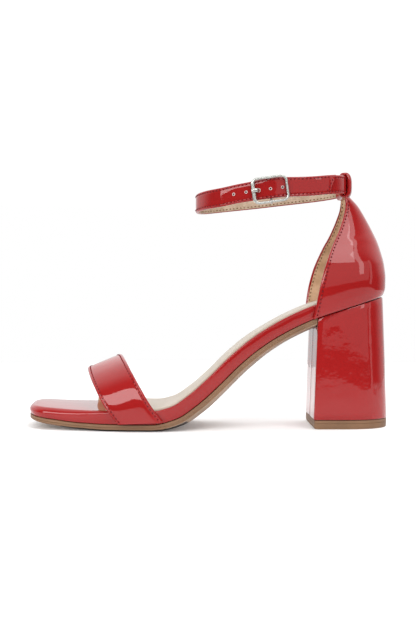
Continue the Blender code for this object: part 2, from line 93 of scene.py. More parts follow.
# Outsole
SOLE_RUN_UNDER = 18.0
SOLE_SIDE = 0.78
SOLE_SIDE_MOST = 3.2
SOLE_DRAW = 0.5
SOLE_RECESS = 1.3
TREAD_SIDE = 0.7
TREAD_FRONT = (-95.0, -75.0)
TREAD_BACK = (-25.0, -5.0)
# Past this share of the forefoot contact zone, the sole's lowest faces take the painted contact shadow.
CONTACT_SHADE_FROM = 0.3
# Where and how far down-facing the waist's bevel faces must be to take the paler rubber of painted floor
# light.
FLOOR_LIGHT_FROM = -24.0
FLOOR_LIGHT_LEAN = 0.2
FLOOR_LIGHT_DOWN = -0.15

# Sock
SOCK_FRONT = -62.5
SOCK_FRONT_CAP = 4.0
SOCK_FRONT_SQUARE = 6.0
SOCK_INSET = 2.4
SOCK_SEAT_INSET = 0.6
SOCK_SEAT = (56.0, 72.0)
SOCK_EDGE = 0.9
SOCK_CROWN = 1.4
SOCK_CROWN_SQUARE = 2.6
SOCK_FLAT = (14.0, 50.0)

# Heel
BREAST_TOP = 65.4
BREAST_BOTTOM = 62.9
HEEL_BACK_TOP = 107.5
HEEL_BACK_BOTTOM = 110.0
HEEL_HALF_TOP = 25.8
HEEL_HALF_BOTTOM = 25.6
HEEL_CAP = 30.0
HEEL_SQUARE = 2.4
HEEL_BACK_STEPS = 40
HEEL_LEVELS = 16
HEEL_WAVE = 0.05
HEEL_WAVE_SCALE = 0.055
HEEL_WAVE_CLEAR = 5.0
BREAST_EDGE = 0.6
BREAST_EDGE_STEPS = 5
BREAST_SEAM = ((0.0, 0.45), (0.35, 0.38), (0.6, 0.0), (1.2, -0.12), (2.2, 0.0))
TOP_PIECE = 5.2
TOP_PIECE_BEVEL = 1.4

# Upper
EDGE_STEPS = 6
EDGE_LANES = (0.0, 0.3, 0.6, 0.9, 1.2, 1.6, 2.1, 2.8)
STRAP_WALL = 1.8
STRAP_CLEAR = 2.1
STRAP_PUFF = 0.18
STRAP_PUFF_REACH = 6.0
COUNTER_WALL = 1.9
COUNTER_SQUARE = 2.8
COUNTER_LEAD = 1.7
COUNTER_BEAD = 0.25
COUNTER_TUCK = 0.35
COUNTER_TUCK_REACH = 0.012
COUNTER_FOOT = (0.0, 0.004, 0.009, 0.015)
COUNTER_BODY = (0.022, 1.0)
COUNTER_BODY_STEPS = 92
COUNTER_TOP = (1.012, 1.024)
COUNTER_SEAM_SHIFT = 0.1
COUNTER_THREAD = 1.4

# Ankle strap
ANKLE_CENTRE = 39.2
ANKLE_LONG = 46.8
ANKLE_HALF = 29.0
ANKLE_SQUARE = 2.25
ANKLE_WIDTH = 11.4
ANKLE_WALL = 2.0
ANKLE_BEAD = 0.8
ANKLE_SEAM = 0.85
ANKLE_PUFF = 0.04
ANKLE_PUFF_REACH = 4.0
ANKLE_END_CLEAR = 0.9
LAYER = ANKLE_WALL + GAP
LAYER_TURN = (195.0, 245.0)
TIP_LOW_X = 70.5
TIP_HIGH_X = 75.5
TIP_SEAM = 0.994
HOLES_EACH_WAY = 2
HOLE_PITCH = 7.0
HOLE_RADIUS = 0.85
HOLE_LIFT = 0.12
# Depth at which the dark plug of painted shadow starts inside each hole.
HOLE_SHADE_DEPTH = 0.7
PRONG_HOLE_X = 29.8
PRONG_HOLE_RADIUS = 1.1
RIM_WIRE = 0.2
RIM_INSET = 0.1
RIM_STEPS = 28

# Loop on the back tab
LOOP_TURN = 17.0
LOOP_WALL = 1.6
LOOP_SIDE_CLEAR = 1.2
LOOP_EDGE_CLEAR = 0.35
LOOP_BULGE = 0.2
LOOP_FLAT_SQUARE = 3.6
LOOP_ROUND_SQUARE = 2.8
LOOP_PADDING = 0.1
LOOP_SWELL = 0.45
LOOP_ROLL = 0.05
LOOP_EDGE = (0.0, 0.02, 0.05, 0.09)
LOOP_BODY = (0.13, 0.87)
LOOP_AROUND = 64

# Buckle
BUCKLE_X = 36.5
BUCKLE_LONG = 21.8
BUCKLE_HIGH = 16.0
BUCKLE_DROP = 0.5
BUCKLE_SWELL = 0.9
BUCKLE_SWELL_REACH = 9.0
BUCKLE_WIRE = 0.8
BUCKLE_FLAT = 0.92
BUCKLE_CORNER = 3.0
BUCKLE_CORNER_STEPS = 12
BUCKLE_FRONT_EXTRA = 0.3
BUCKLE_FRONT_WIDENS = (0.34, 0.47)
BUCKLE_FRONT_NARROWS = (0.53, 0.66)
BAR_WIRE = 0.7
BAR_DRAW = 0.45
PRONG_WIRE = 0.6
PRONG_FLAT = 0.55
PRONG_TIP_EXTRA = 0.85
PRONG_WIDENS = (0.3, 0.6)

# Thread
FIRST_STITCH = 0.5
STITCH_SIDES = 6

# Stage, in metres
WHITE = (1.0, 1.0, 1.0, 1.0)
AIM_HEIGHT = 0.07
SENSOR = 36.0
HALF_VIEW = 0.3224
FLOOR_RADIUS = 0.6
FLOOR_BEHIND = 0.17
FLOOR_GLOW = 0.11
FLOOR_CLOUD = 0.985
FLOOR_GREY = 0.62
FLOOR_GREY_SPAN = (-0.30, -0.07)
SKY_LEAN = 0.45
SKY_SPAN = (-0.1, 0.5)
SKY_DIM = 0.14
SKY_RISE = 0.4
SKY_LOW = 0.82
SKY_HIGH = 1.5

# Rows of the solids' own forms
SoleRow = namedtuple("SoleRow", "name x bed lateral medial midsole outsole bevel")
SOLE_ROWS = (
    SoleRow("toe tip", -110.0, 14.6, 24.6, 28.6, 5.8, 2.8, 2.2),
    SoleRow("toe", -95.0, 13.2, 28.2, 31.6, 6.4, 3.3, 2.2),
    SoleRow("toe root", -76.0, 12.3, 33.0, 35.6, 7.4, 3.7, 1.4),
    SoleRow("tread front", -58.0, 12.0, 36.6, 38.0, 7.7, 4.0, 1.0),
    SoleRow("ball", -46.0, 12.0, 38.2, 38.6, 7.7, 4.0, 1.0),
    SoleRow("tread back", -33.0, 12.0, 38.8, 36.9, 7.7, 4.0, 1.0),
    SoleRow("bend", -22.0, 14.4, 38.2, 32.8, 7.7, 4.6, 2.5),
    SoleRow("rise", -10.6, 21.7, 36.1, 27.4, 7.7, 5.4, 5.5),
    SoleRow("waist front", 1.2, 32.1, 33.4, 22.8, 7.7, 5.7, 8.0),
    SoleRow("waist", 13.0, 43.6, 31.2, 21.2, 7.7, 5.5, 9.0),
    SoleRow("waist back", 25.0, 53.5, 29.4, 21.3, 7.7, 5.5, 9.0),
    SoleRow("shank", 36.7, 61.2, 28.1, 22.4, 7.7, 5.1, 9.0),
    SoleRow("seat front", 48.6, 67.6, 27.0, 24.0, 7.7, 4.9, 9.0),
    SoleRow("breast", 62.0, 73.4, 25.8, 25.8, 7.7, 4.9, 9.0),
    SoleRow("seat", 76.0, 78.0, 25.8, 25.8, 7.7, 4.9, 9.0),
    SoleRow("heel end", 106.0, 87.3, 25.8, 25.8, 7.7, 4.9, 9.0),
)

StrapRow = namedtuple("StrapRow", "name front_x front_z rear_x rear_z spread")
STRAP_ROWS = (
    StrapRow("lateral hem", -52.4, 4.5, -25.8, 5.8, -1.0),
    StrapRow("lateral wall", -57.8, 10.9, -33.0, 15.5, -1.0),
    StrapRow("lateral turn", -62.6, 18.0, -39.1, 25.5, -0.955),
    StrapRow("lateral shoulder", -67.4, 26.0, -44.7, 34.5, -0.80),
    StrapRow("lateral crown", -71.6, 32.0, -49.3, 40.7, -0.48),
    StrapRow("crown", -74.6, 35.6, -53.4, 43.9, 0.0),
    StrapRow("medial crown", -75.0, 34.8, -56.2, 42.5, 0.46),
    StrapRow("medial shoulder", -73.0, 28.8, -56.2, 34.2, 0.82),
    StrapRow("medial turn", -71.8, 20.5, -54.0, 23.4, 0.965),
    StrapRow("medial wall", -72.4, 12.2, -51.0, 12.8, 1.0),
    StrapRow("medial hem", -73.0, 4.6, -49.0, 4.5, 1.0),
)

CounterRow = namedtuple("CounterRow", "name front_x front_rise back_x back_rise half wrap")
COUNTER_ROWS = (
    CounterRow("seat edge", 62.3, 0.0, 107.1, 0.0, 28.0, 90.0),
    CounterRow("bed", 64.1, 8.3, 108.8, 4.6, 29.2, 90.0),
    CounterRow("swell", 66.3, 18.9, 108.9, 10.5, 30.0, 90.0),
    CounterRow("ankle", 69.8, 30.4, 108.0, 19.0, 28.0, 90.0),
    CounterRow("cut", 75.0, 41.6, 104.5, 33.2, 21.2, 88.0),
    CounterRow("neck", 78.6, 47.6, 101.3, 41.5, 17.4, 82.0),
    CounterRow("tab foot", 82.0, 55.4, 96.5, 52.3, 13.4, 72.0),
    CounterRow("tab", 83.9, 61.8, 92.4, 60.2, 11.2, 60.0),
    CounterRow("tab top", 84.3, 66.9, 87.7, 66.7, 10.2, 50.0),
)

AnkleRow = namedtuple("AnkleRow", "name x lateral medial")
ANKLE_ROWS = (
    AnkleRow("front", -7.6, 131.0, 131.0),
    AnkleRow("instep", 6.0, 131.9, 133.5),
    AnkleRow("holes", 20.0, 134.3, 135.3),
    AnkleRow("buckle", 34.0, 136.2, 136.9),
    AnkleRow("buckle back", 46.0, 137.7, 138.3),
    AnkleRow("tip", 60.0, 138.5, 139.7),
    AnkleRow("loop front", 75.0, 140.4, 141.0),
    AnkleRow("back", 86.0, 141.8, 141.8),
)

# Shallow hollows and swells pressed into the leather: where, how far they reach, how high
Dent = namedtuple("Dent", "name across along wide long height")
COUNTER_DENTS = (
    Dent("front crease low", 0.10, 0.46, 0.05, 0.045, -0.12),
    Dent("front crease high", 0.16, 0.56, 0.05, 0.045, -0.12),
    Dent("side swell", 0.24, 0.38, 0.09, 0.10, 0.16),
    Dent("side hollow", 0.30, 0.26, 0.09, 0.08, -0.10),
    Dent("heel swell", 0.52, 0.30, 0.10, 0.10, 0.14),
    Dent("inner crease", 0.86, 0.48, 0.05, 0.04, -0.22),
)
STRAP_DENTS = (
    Dent("outer wave", 0.35, 0.20, 0.20, 0.03, -0.05),
    Dent("outer wave two", 0.75, 0.235, 0.18, 0.03, 0.05),
    Dent("crown hollow", 0.5, 0.50, 0.3, 0.08, -0.1),
    Dent("inner wave", 0.4, 0.80, 0.22, 0.03, -0.12),
)

# Edges of the sole, the sock and the heel, each from its foot up
HemStep = namedtuple("HemStep", "name inset rise flare")
WRAP_HEM = (
    HemStep("glued hem", 1.3, 0.0, 0.0),
    HemStep("hem turn", 0.85, 0.15, 0.05),
    HemStep("side foot", 0.65, 0.5, 0.1),
)
BevelStep = namedtuple("BevelStep", "name bevel recess low tread_low")
SOLE_BEVEL = (
    BevelStep("ground", 1.0, SOLE_RECESS, 1.0, 1.0),
    BevelStep("trimmed waist", 0.55, SOLE_RECESS, 0.75, 0.15),
    BevelStep("corner", 0.12, 0.0, 0.22, 0.05),
)
RimStep = namedtuple("RimStep", "name inset down")
SOLE_RIM = (
    RimStep("side foot", 0.45, 1.0),
    RimStep("side", 0.38, 0.93),
    RimStep("groove foot", 0.38, 0.64),
    RimStep("groove", 0.62, 0.58),
    RimStep("groove head", 0.38, 0.52),
    RimStep("side head", 0.38, 0.06),
    RimStep("top", 0.6, 0.0),
)
SockStep = namedtuple("SockStep", "name draw high")
SOCK_STEPS = (
    SockStep("sunk foot", 0.0, -0.15),
    SockStep("bed", 0.0, GAP),
    SockStep("side", 0.0, GAP + 0.45 * SOCK_EDGE),
    SockStep("turn", 0.2, GAP + 0.8 * SOCK_EDGE),
    SockStep("rim", 0.6, GAP + SOCK_EDGE),
    SockStep("pad", 1.4, GAP + SOCK_EDGE + 0.1),
)
RollStep = namedtuple("RollStep", "name draw off")
HEEL_FOOT = (
    RollStep("glued foot", 0.7, 0.0),
    RollStep("foot turn", 0.25, 0.1),
    RollStep("side foot", 0.0, 0.5),
)
HEEL_HEAD = (
    RollStep("side head", 0.0, 0.8),
    RollStep("head turn", 0.25, 0.25),
    RollStep("glued head", 0.8, 0.0),
)
LiftStep = namedtuple("LiftStep", "name bevel draw high")
LIFT_STEPS = (
    LiftStep("ground", TOP_PIECE_BEVEL, 0.7, 0.0),
    LiftStep("corner", 0.0, 0.55, 0.35),
    LiftStep("side foot", 0.0, 0.3, 1.6),
    LiftStep("groove foot", 0.0, 0.3, 3.3),
    LiftStep("groove", 0.0, 0.55, 3.45),
    LiftStep("groove head", 0.0, 0.3, 3.6),
    LiftStep("top", 0.0, 0.3, TOP_PIECE),
)

# Thread of one stitch: part of its length, its thickness and its rise over the leather
STITCH_RISE = ((0.0, 0.25, -0.55), (0.12, 0.8, -0.1), (0.3, 1.0, 0.2), (0.5, 1.0, 0.28))
STITCH = STITCH_RISE + tuple((1.0 - t, thick, rise) for t, thick, rise in STITCH_RISE[-2::-1])

Lamp = namedtuple("Lamp", "name x y z wide high glow roll")
LAMPS = (
    Lamp("left_softbox", -0.66, -1.05, 0.60, 1.42, 0.46, 6.0, 7.0),
    Lamp("right_softbox", 0.30, -0.72, 1.17, 0.55, 0.95, 4.4, 0.0),
    Lamp("front_card", 1.0, -1.5, 0.592, 2.0, 1.3, 0.78, 0.0),
    Lamp("right_panel", 0.92, -0.92, 1.03, 0.25, 1.3, 3.2, 0.0),
    Lamp("right_strip", 1.12, -0.45, 0.35, 0.14, 0.9, 1.2, 0.0),
)


def trim_size(name, description, metres):
    """Length that a user may change."""
    return bpy.props.FloatProperty(
        name=name, description=description, default=metres, unit="LENGTH", precision=5)


def finish_colour(name, description, *colour):
    """Colour in linear light that a user may change."""
    return bpy.props.FloatVectorProperty(
        name=name, description=description, default=colour, subtype="COLOR")


class SandalSizes(bpy.types.PropertyGroup):
    """Sizes of the trim that lies over the solids, and the camera's place."""

    bead: trim_size("Edge bead", "Height of the folded bead along the cut edges", 0.22 * MM)
    seam_inset: trim_size("Seam inset", "Distance from a cut edge to its row of stitches", 1.9 * MM)
    stitch_pitch: trim_size("Stitch pitch", "Distance from one stitch to the next", 2.4 * MM)
    stitch_length: trim_size("Stitch length", "Length of the thread that shows in one stitch", 1.3 * MM)
    stitch_width: trim_size("Stitch width", "Thickness of the sewing thread", 0.66 * MM)
    camera_distance: trim_size("Camera distance", "From the shoe's middle plane to the camera", 0.6)
    camera_height: trim_size("Camera height", "Height of the level camera over the floor", 69.8 * MM)


class SandalColours(bpy.types.PropertyGroup):
    """Colours of the finishes."""

    patent: finish_colour("Patent", "Red patent leather", 0.290, 0.009, 0.009)
    patent_deep: finish_colour("Patent shade", "Deeper red in the patent leather", 0.27, 0.0076, 0.0076)
    # Both lining colours are one tan leather. The first is lightened, painted light against the shade it
    # sits in inside the back; the ankle one is darkened, painted shade where that lining is lit.
    lining: finish_colour("Lining", "Tan leather inside the front strap and the back", 0.74, 0.49, 0.31)
    ankle_lining: finish_colour("Ankle lining", "Leather inside the ankle strap", 0.50, 0.375, 0.275)
    sock: finish_colour("Sock", "Beige padded insole", 0.47, 0.41, 0.34)
    rubber: finish_colour("Rubber", "Tan sole and top piece", 0.195, 0.1, 0.048)
    # Painted light: the paler band on the waist's lower bevel, where light bounced from the floor falls.
    floor_lit_edge: finish_colour("Painted floor light", "Paler trimmed lower edge of the sole", 0.36, 0.255, 0.185)
    # Painted shadow: the near-black line where the forefoot sole meets the floor.
    tread: finish_colour("Tread", "Dark lower edge of the sole at the floor", 0.02, 0.012, 0.008)
    metal: finish_colour("Buckle", "Polished pale metal", 0.51, 0.515, 0.485)
    thread: finish_colour("Thread", "Dark red sewing thread", 0.11, 0.006, 0.009)
    lining_thread: finish_colour("Lining thread", "Brown thread on the lining", 0.15, 0.08, 0.045)
    floor: finish_colour("Floor", "Plain pale floor", 0.90, 0.90, 0.90)


# Curves through the tables


@lru_cache(maxsize=None)
def tangents(stations, values):
    """Slopes of the shape-keeping cubic through a run of values."""
    steps = [b - a for a, b in zip(stations, stations[1:])]
    rises = [(b - a) / s for a, b, s in zip(values, values[1:], steps)]
    slopes = [rises[0]]
    for before, after, near, far in zip(rises, rises[1:], steps, steps[1:]):
        if before * after <= 0.0:
            slopes.append(0.0)
            continue
        first = 2.0 * far + near
        second = far + 2.0 * near
        slopes.append((first + second) / (first / before + second / after))
    slopes.append(rises[-1])
    return tuple(slopes)


def flow(stations, values, at):
    """Smooth value at a station, running on straight past both ends."""
    slopes = tangents(stations, values)
    if at <= stations[0]:
        return values[0] + slopes[0] * (at - stations[0])
    if at >= stations[-1]:
        return values[-1] + slopes[-1] * (at - stations[-1])
    k = bisect_right(stations, at) - 1
    step = stations[k + 1] - stations[k]
    t = (at - stations[k]) / step
    start = (1.0 + 2.0 * t) * (1.0 - t) ** 2 * values[k] + t * (1.0 - t) ** 2 * step * slopes[k]
    end = t * t * (3.0 - 2.0 * t) * values[k + 1] + t * t * (t - 1.0) * step * slopes[k + 1]
    return start + end


@lru_cache(maxsize=None)
def column(rows, name):
    return tuple(getattr(row, name) for row in rows)


def sole(name, x):
    """One column of the sole table at a length."""
    return flow(column(SOLE_ROWS, "x"), column(SOLE_ROWS, name), x)


def spread_rows(rows, name, v):
    """One column of a row table at a part v of the way through its rows."""
    return flow(tuple(range(len(rows))), column(rows, name), v * (len(rows) - 1))


def ease(low, high, at):
    t = min(max((at - low) / (high - low), 0.0), 1.0)
    return t * t * (3.0 - 2.0 * t)


def mix(a, b, t):
    return a + (b - a) * t


@lru_cache(maxsize=None)
def layer(x, depth):
    """Height of the layer that lies a depth under the bed, square to it."""
    station = x
    for _ in range(12):
        slope = sole("bed", station + 0.5) - sole("bed", station - 0.5)
        station = x - depth * slope / math.hypot(1.0, slope)
    slope = sole("bed", station + 0.5) - sole("bed", station - 0.5)
    return sole("bed", station) - depth / math.hypot(1.0, slope)


def super_arc(angle, square):
    """Point of a unit superellipse."""
    c = math.cos(angle)
    s = math.sin(angle)
    power = 2.0 / square
    return math.copysign(abs(c) ** power, c), math.copysign(abs(s) ** power, s)


# Slabs of the sole


End = namedtuple("End", "x length square steps")


def sole_loop(front, back, steps):
    """Closed plan outline: front tip, lateral side, back tip, medial side."""
    stations = []
    for i in range(front.steps):
        c, s = super_arc(0.5 * math.pi * i / front.steps, front.square)
        stations.append((front.x + front.length * (1.0 - c), s))
    start = front.x + front.length
    stop = back.x - back.length
    stations += [(mix(start, stop, i / steps), 1.0) for i in range(steps)]
    for i in range(back.steps + 1):
        s, c = super_arc(0.5 * math.pi * i / back.steps, back.square)
        stations.append((stop + back.length * c, s if i < back.steps else 0.0))
    lateral = [(x, -sole("lateral", x) * k) for x, k in stations]
    medial = [(x, sole("medial", x) * k) for x, k in stations[1:-1]]
    return lateral + medial[::-1]


def inset_loop(loop, amount):
    """Outline drawn in by an amount that may change along the length."""
    moved = []
    for before, here, after in zip(loop[-1:] + loop[:-1], loop, loop[1:] + loop[:1]):
        run = Vector(after) - Vector(before)
        inward = Vector((-run.y, run.x)).normalized()
        moved.append(Vector(here) + inward * amount(here[0]))
    return moved


def slant(point):
    """The toe is cut a little further forward on its medial side."""
    part = min(max((TOE_SLANT_FROM - point.x) / (TOE_SLANT_FROM - TOE_X), 0.0), 1.0)
    return Vector((point.x - TOE_SLANT * point.y * part, point.y))


def sole_ring(loop, inset, depth, flare=0.0):
    """Outline at a depth under the bed, opened out at the seat by a flare."""
    ring = []
    for point in inset_loop(loop, inset):
        spot = slant(point)
        grow = SEAT_FLARE * flare * ease(SEAT_X, SEAT_X + SEAT_FLARE_RUN, spot.x)
        x = spot.x + (spot.x - SEAT_X) * grow
        y = spot.y * (1.0 + grow)
        ring.append(Vector((x, y, layer(round(x, 3), round(depth(x), 4)))))
    return ring


def plain(value):
    return lambda x: value


def band(bm, lower, upper):
    """Wall of quads between two rings of corners."""
    quads = zip(lower, lower[1:] + lower[:1], upper[1:] + upper[:1], upper)
    return [bm.faces.new(corners) for corners in quads]


def cap(bm, ring, lanes=1, crown=None):
    """Rungs across a ring from side to side, raised by a crown that may change along them."""
    half = len(ring) // 2
    rails = [[ring[0]] * (lanes + 1)]
    for i in range(1, half):
        left = ring[i]
        right = ring[-i]
        rail = [left]
        for k in range(1, lanes):
            t = k / lanes
            spot = left.co.lerp(right.co, t)
            if crown:
                spot.z += crown(spot.x, t)
            rail.append(bm.verts.new(spot))
        rails.append(rail + [right])
    rails.append([ring[half]] * (lanes + 1))
    for near, far in zip(rails, rails[1:]):
        for k in range(lanes):
            corners = []
            for corner in (near[k], near[k + 1], far[k + 1], far[k]):
                if corner not in corners:
                    corners.append(corner)
            bm.faces.new(corners)


def slab(rings, lanes=1, crown=None):
    """Closed body through a stack of paired rings, lowest first."""
    bm = bmesh.new()
    stack = [[bm.verts.new(point) for point in ring] for ring in rings]
    for lower, upper in zip(stack, stack[1:]):
        band(bm, lower, upper)
    cap(bm, stack[0])
    cap(bm, stack[-1], lanes, crown)
    return bm


# Faces of the upper


def vamp_point(u, v):
    """Outer face of the front strap: u from toe edge to rear edge, v from lateral to medial hem."""
    x = mix(spread_rows(STRAP_ROWS, "front_x", v), spread_rows(STRAP_ROWS, "rear_x", v), u)
    z = mix(spread_rows(STRAP_ROWS, "front_z", v), spread_rows(STRAP_ROWS, "rear_z", v), u)
    lean = spread_rows(STRAP_ROWS, "spread", v)
    edge = sole("lateral", x) if lean < 0.0 else sole("medial", x)
    return Vector((x, lean * (edge + STRAP_CLEAR), z))


def counter_point(u, v):
    """Outer face of the back: u round the heel from lateral to medial edge, v up from the seat.

    The medial edge leads the lateral one, most at half height.
    """
    wrap = math.radians(spread_rows(COUNTER_ROWS, "wrap", v))
    back = spread_rows(COUNTER_ROWS, "back_x", v)
    front = spread_rows(COUNTER_ROWS, "front_x", v)
    c, s = super_arc(mix(-wrap, wrap, u), COUNTER_SQUARE)
    c_end, s_end = super_arc(wrap, COUNTER_SQUARE)
    part = (c - c_end) / (1.0 - c_end)
    lead = COUNTER_LEAD * 4.0 * v * (1.0 - v) if s > 0.0 else 0.0
    x = mix(front - lead, back, part)
    front_rise = spread_rows(COUNTER_ROWS, "front_rise", v)
    rise = mix(front_rise, spread_rows(COUNTER_ROWS, "back_rise", v), part)
    y = spread_rows(COUNTER_ROWS, "half", v) * s / s_end
    return Vector((x, y, layer(round(x, 3), SEAT_DEPTH) + rise))


def ankle_frame(angle):
    """Place, run and outward direction on the strap's inner layer, at its lower edge."""
    def spot(turn):
        c, s = super_arc(math.radians(turn), ANKLE_SQUARE)
        x = ANKLE_CENTRE + ANKLE_LONG * c
        stations = column(ANKLE_ROWS, "x")
        lateral = flow(stations, column(ANKLE_ROWS, "lateral"), x)
        medial = flow(stations, column(ANKLE_ROWS, "medial"), x)
        return Vector((x, ANKLE_HALF * s, mix(lateral, medial, 0.5 * (s + 1.0))))

    run = (spot(angle + 0.5) - spot(angle - 0.5)).normalized()
    outward = Vector((run.y, -run.x, 0.0)).normalized()
    return spot(angle), run, outward


def ankle_turn(x, lap=0.0):
    """Angle of the strap's lateral side at a length."""
    part = (x - ANKLE_CENTRE) / ANKLE_LONG
    c = math.copysign(abs(part) ** (0.5 * ANKLE_SQUARE), part)
    return lap - math.degrees(math.acos(c))


ANKLE_START = ankle_turn(BUCKLE_X + BAR_WIRE + GAP + ANKLE_END_CLEAR)
ANKLE_TIP_LOW = ankle_turn(TIP_LOW_X, 360.0)
ANKLE_TIP_HIGH = ankle_turn(TIP_HIGH_X, 360.0)


def ankle_point(u, v):
    """Outer face of the ankle strap, from its buckle end round the heel and front to its tip."""
    angle = mix(ANKLE_START, mix(ANKLE_TIP_LOW, ANKLE_TIP_HIGH, v), u)
    spot, _, outward = ankle_frame(angle)
    outer = ease(*LAYER_TURN, angle)
    swell = BUCKLE_SWELL * outer * math.exp(-((spot.x - BUCKLE_X) / BUCKLE_SWELL_REACH) ** 2)
    return spot + outward * (LAYER * outer) + Vector((0.0, 0.0, (ANKLE_WIDTH + swell) * v))


def loop_point(u, v):
    """Outer face of the strap loop, bulged at the back: u along the strap, v round the loop."""
    spot, _, outward = ankle_frame(mix(-LOOP_TURN, LOOP_TURN, u))
    thick = 0.5 * ANKLE_WALL + LOOP_SIDE_CLEAR + LOOP_WALL
    high = 0.5 * ANKLE_WIDTH + LOOP_EDGE_CLEAR + LOOP_WALL
    angle = 2.0 * math.pi * v
    if math.cos(angle) > 0.0:
        thick += LOOP_BULGE
        c, s = super_arc(angle, LOOP_ROUND_SQUARE)
    else:
        c, s = super_arc(angle, LOOP_FLAT_SQUARE)
    middle = spot - outward * 0.5 * ANKLE_WALL + Vector((0.0, 0.0, 0.5 * ANKLE_WIDTH))
    return middle + outward * (thick * c) + Vector((0.0, 0.0, high * s))


def buckle_spot(along, up, out):
    """Point by the buckle, from the strap's middle: along it, up it, and out of its inner layer."""
    spot, run, outward = ankle_frame(ankle_turn(BUCKLE_X))
    middle = spot + Vector((0.0, 0.0, 0.5 * ANKLE_WIDTH - BUCKLE_DROP))
    return middle + run * along + outward.cross(run) * up + outward * out


def facing(point, u, v):
    """Unit outward normal of a face."""
    step = 0.002
    along = point(u + step, v) - point(u - step, v)
    up = point(u, v + step) - point(u, v - step)
    return along.cross(up).normalized()


class Face:
    """A face of the upper, read across in millimetres and along from 0 to 1."""

    def __init__(self, point, across_first, samples):
        self.point = point if across_first else (lambda a, b: point(b, a))
        self.turned = 1.0 if across_first else -1.0
        self.samples = samples
        self.lengths = lru_cache(maxsize=None)(self._lengths)

    def _lengths(self, along):
        spots = [self.point(i / self.samples, along) for i in range(self.samples + 1)]
        total = [0.0]
        for a, b in zip(spots, spots[1:]):
            total.append(total[-1] + (b - a).length)
        return total

    def width(self, along):
        return self.lengths(round(along, 6))[-1]

    def share(self, across, along):
        """Part of the way across at a distance from the first edge."""
        total = self.lengths(round(along, 6))
        if across <= 0.0:
            return 0.0
        if across >= total[-1]:
            return 1.0
        low = bisect_right(total, across) - 1
        part = (across - total[low]) / (total[low + 1] - total[low])
        return (low + part) / self.samples

    def at(self, across, along, height):
        """Point at a height over the face."""
        u = self.share(across, along)
        normal = facing(self.point, u, along) * self.turned
        return self.point(u, along) + normal * height


def crosswise(width, lip, lanes):
    """Distances across a band, closer together near its two edges."""
    near = [lip + d for d in EDGE_LANES]
    inner = [mix(near[-1], width - near[-1], i / lanes) for i in range(1, lanes)]
    return near + inner + [width - d for d in near[::-1]]


def rounded_edge(face, along, lip, start, rim, inner):
    """Points round a folded edge, from a start in half turns, between its rim and the band inside it."""
    for k in range(1, EDGE_STEPS):
        turn = math.pi * (start - k / EDGE_STEPS)
        height = lip * math.sin(turn) - lip
        yield face.at(inner, along, height).lerp(face.at(rim, along, height), abs(math.cos(turn)))


def hide_band(face, stations, wall, lanes, lift, turned=2):
    """Leather band with rounded edges: skin 0 outside, skin 1 the lining.

    The lining is carried round each edge by a number of its rounded steps.
    """
    bm = bmesh.new()
    lip = 0.5 * wall
    rings = []
    for along in stations:
        width = face.width(along)
        spots = crosswise(width, lip, lanes)
        ring = [face.at(c, along, lift(c, width, along)) for c in spots]
        ring += rounded_edge(face, along, lip, 0.5, width, width - lip)
        ring += [face.at(c, along, -wall) for c in spots[::-1]]
        ring += rounded_edge(face, along, lip, 1.5, 0.0, lip)
        rings.append([bm.verts.new(spot) for spot in ring])
    count = 2 * len(EDGE_LANES) + lanes - 1
    first = count + EDGE_STEPS - 1
    lined = range(first - turned, first + count - 1 + turned)
    for lower, upper in zip(rings, rings[1:]):
        for k, made in enumerate(band(bm, lower, upper)):
            made.material_index = 1 if k in lined else 0
    for ring in (rings[0], rings[-1]):
        outer = ring[:count]
        inner = ring[first:first + count][::-1]
        for a, b, c, d in zip(outer, outer[1:], inner[1:], inner):
            bm.faces.new((a, b, c, d))
        bm.faces.new(ring[count - 1:first + 1])
        bm.faces.new(ring[first + count - 1:] + [ring[0]])
    return bm


def dented(dents, across, along):
    """Height that a table of dents adds at a place."""
    total = 0.0
    for dent in dents:
        a = (across - dent.across) / dent.wide
        b = (along - dent.along) / dent.long
        total += dent.height * math.exp(-a * a - b * b)
    return total


def seam_lift(edge, bead, inset):
    """Profile from a cut edge inward: folded bead, sewn groove, full leather."""
    rolled = bead * math.exp(-((edge - 0.45 * inset) / (0.28 * inset)) ** 2)
    groove = -0.8 * bead * math.exp(-((edge - inset) / (0.26 * inset)) ** 2)
    return rolled + groove


# Stitches and wires


def seam_run(face, stations, inset, lift, out=1.0):
    """Points and normals along a seam: a negative inset counts from the far edge, out is -1 inside."""
    run = []
    for along in stations:
        width = face.width(along)
        across = inset if inset > 0.0 else width + inset
        normal = face.at(across, along, 1.0) - face.at(across, along, 0.0)
        run.append((face.at(across, along, lift(across, width, along)), normal * out))
    return run


def sew(bm, spots, thick=1.0):
    """Row of thread stitches along a run of points and normals."""
    sizes = bpy.context.scene.sandal_sizes
    pitch = sizes.stitch_pitch / MM
    length = sizes.stitch_length / MM
    width = thick * sizes.stitch_width / MM
    total = [0.0]
    for (a, _), (b, _) in zip(spots, spots[1:]):
        total.append(total[-1] + (b - a).length)

    def on(distance):
        distance = min(max(distance, 0.0), total[-1])
        k = min(bisect_right(total, distance) - 1, len(total) - 2)
        t = (distance - total[k]) / max(total[k + 1] - total[k], 1e-9)
        point = spots[k][0].lerp(spots[k + 1][0], t)
        return point, spots[k][1].lerp(spots[k + 1][1], t).normalized()

    count = int((total[-1] - 2.0 * FIRST_STITCH - length) / pitch)
    for i in range(count + 1):
        begin = FIRST_STITCH + i * pitch
        rings = []
        for t, fat, rise in STITCH:
            place_on = begin + t * length
            point, normal = on(place_on)
            side = (on(place_on + 0.1)[0] - on(place_on - 0.1)[0]).normalized().cross(normal)
            ring = []
            for k in range(STITCH_SIDES):
                turn = 2.0 * math.pi * k / STITCH_SIDES
                reach = side * math.cos(turn) + normal * math.sin(turn)
                ring.append(bm.verts.new(point + normal * (rise * width) + reach * (0.5 * width * fat)))
            rings.append(ring)
        for lower, upper in zip(rings, rings[1:]):
            band(bm, lower, upper)
        bm.faces.new(rings[0][::-1])
        bm.faces.new(rings[-1])


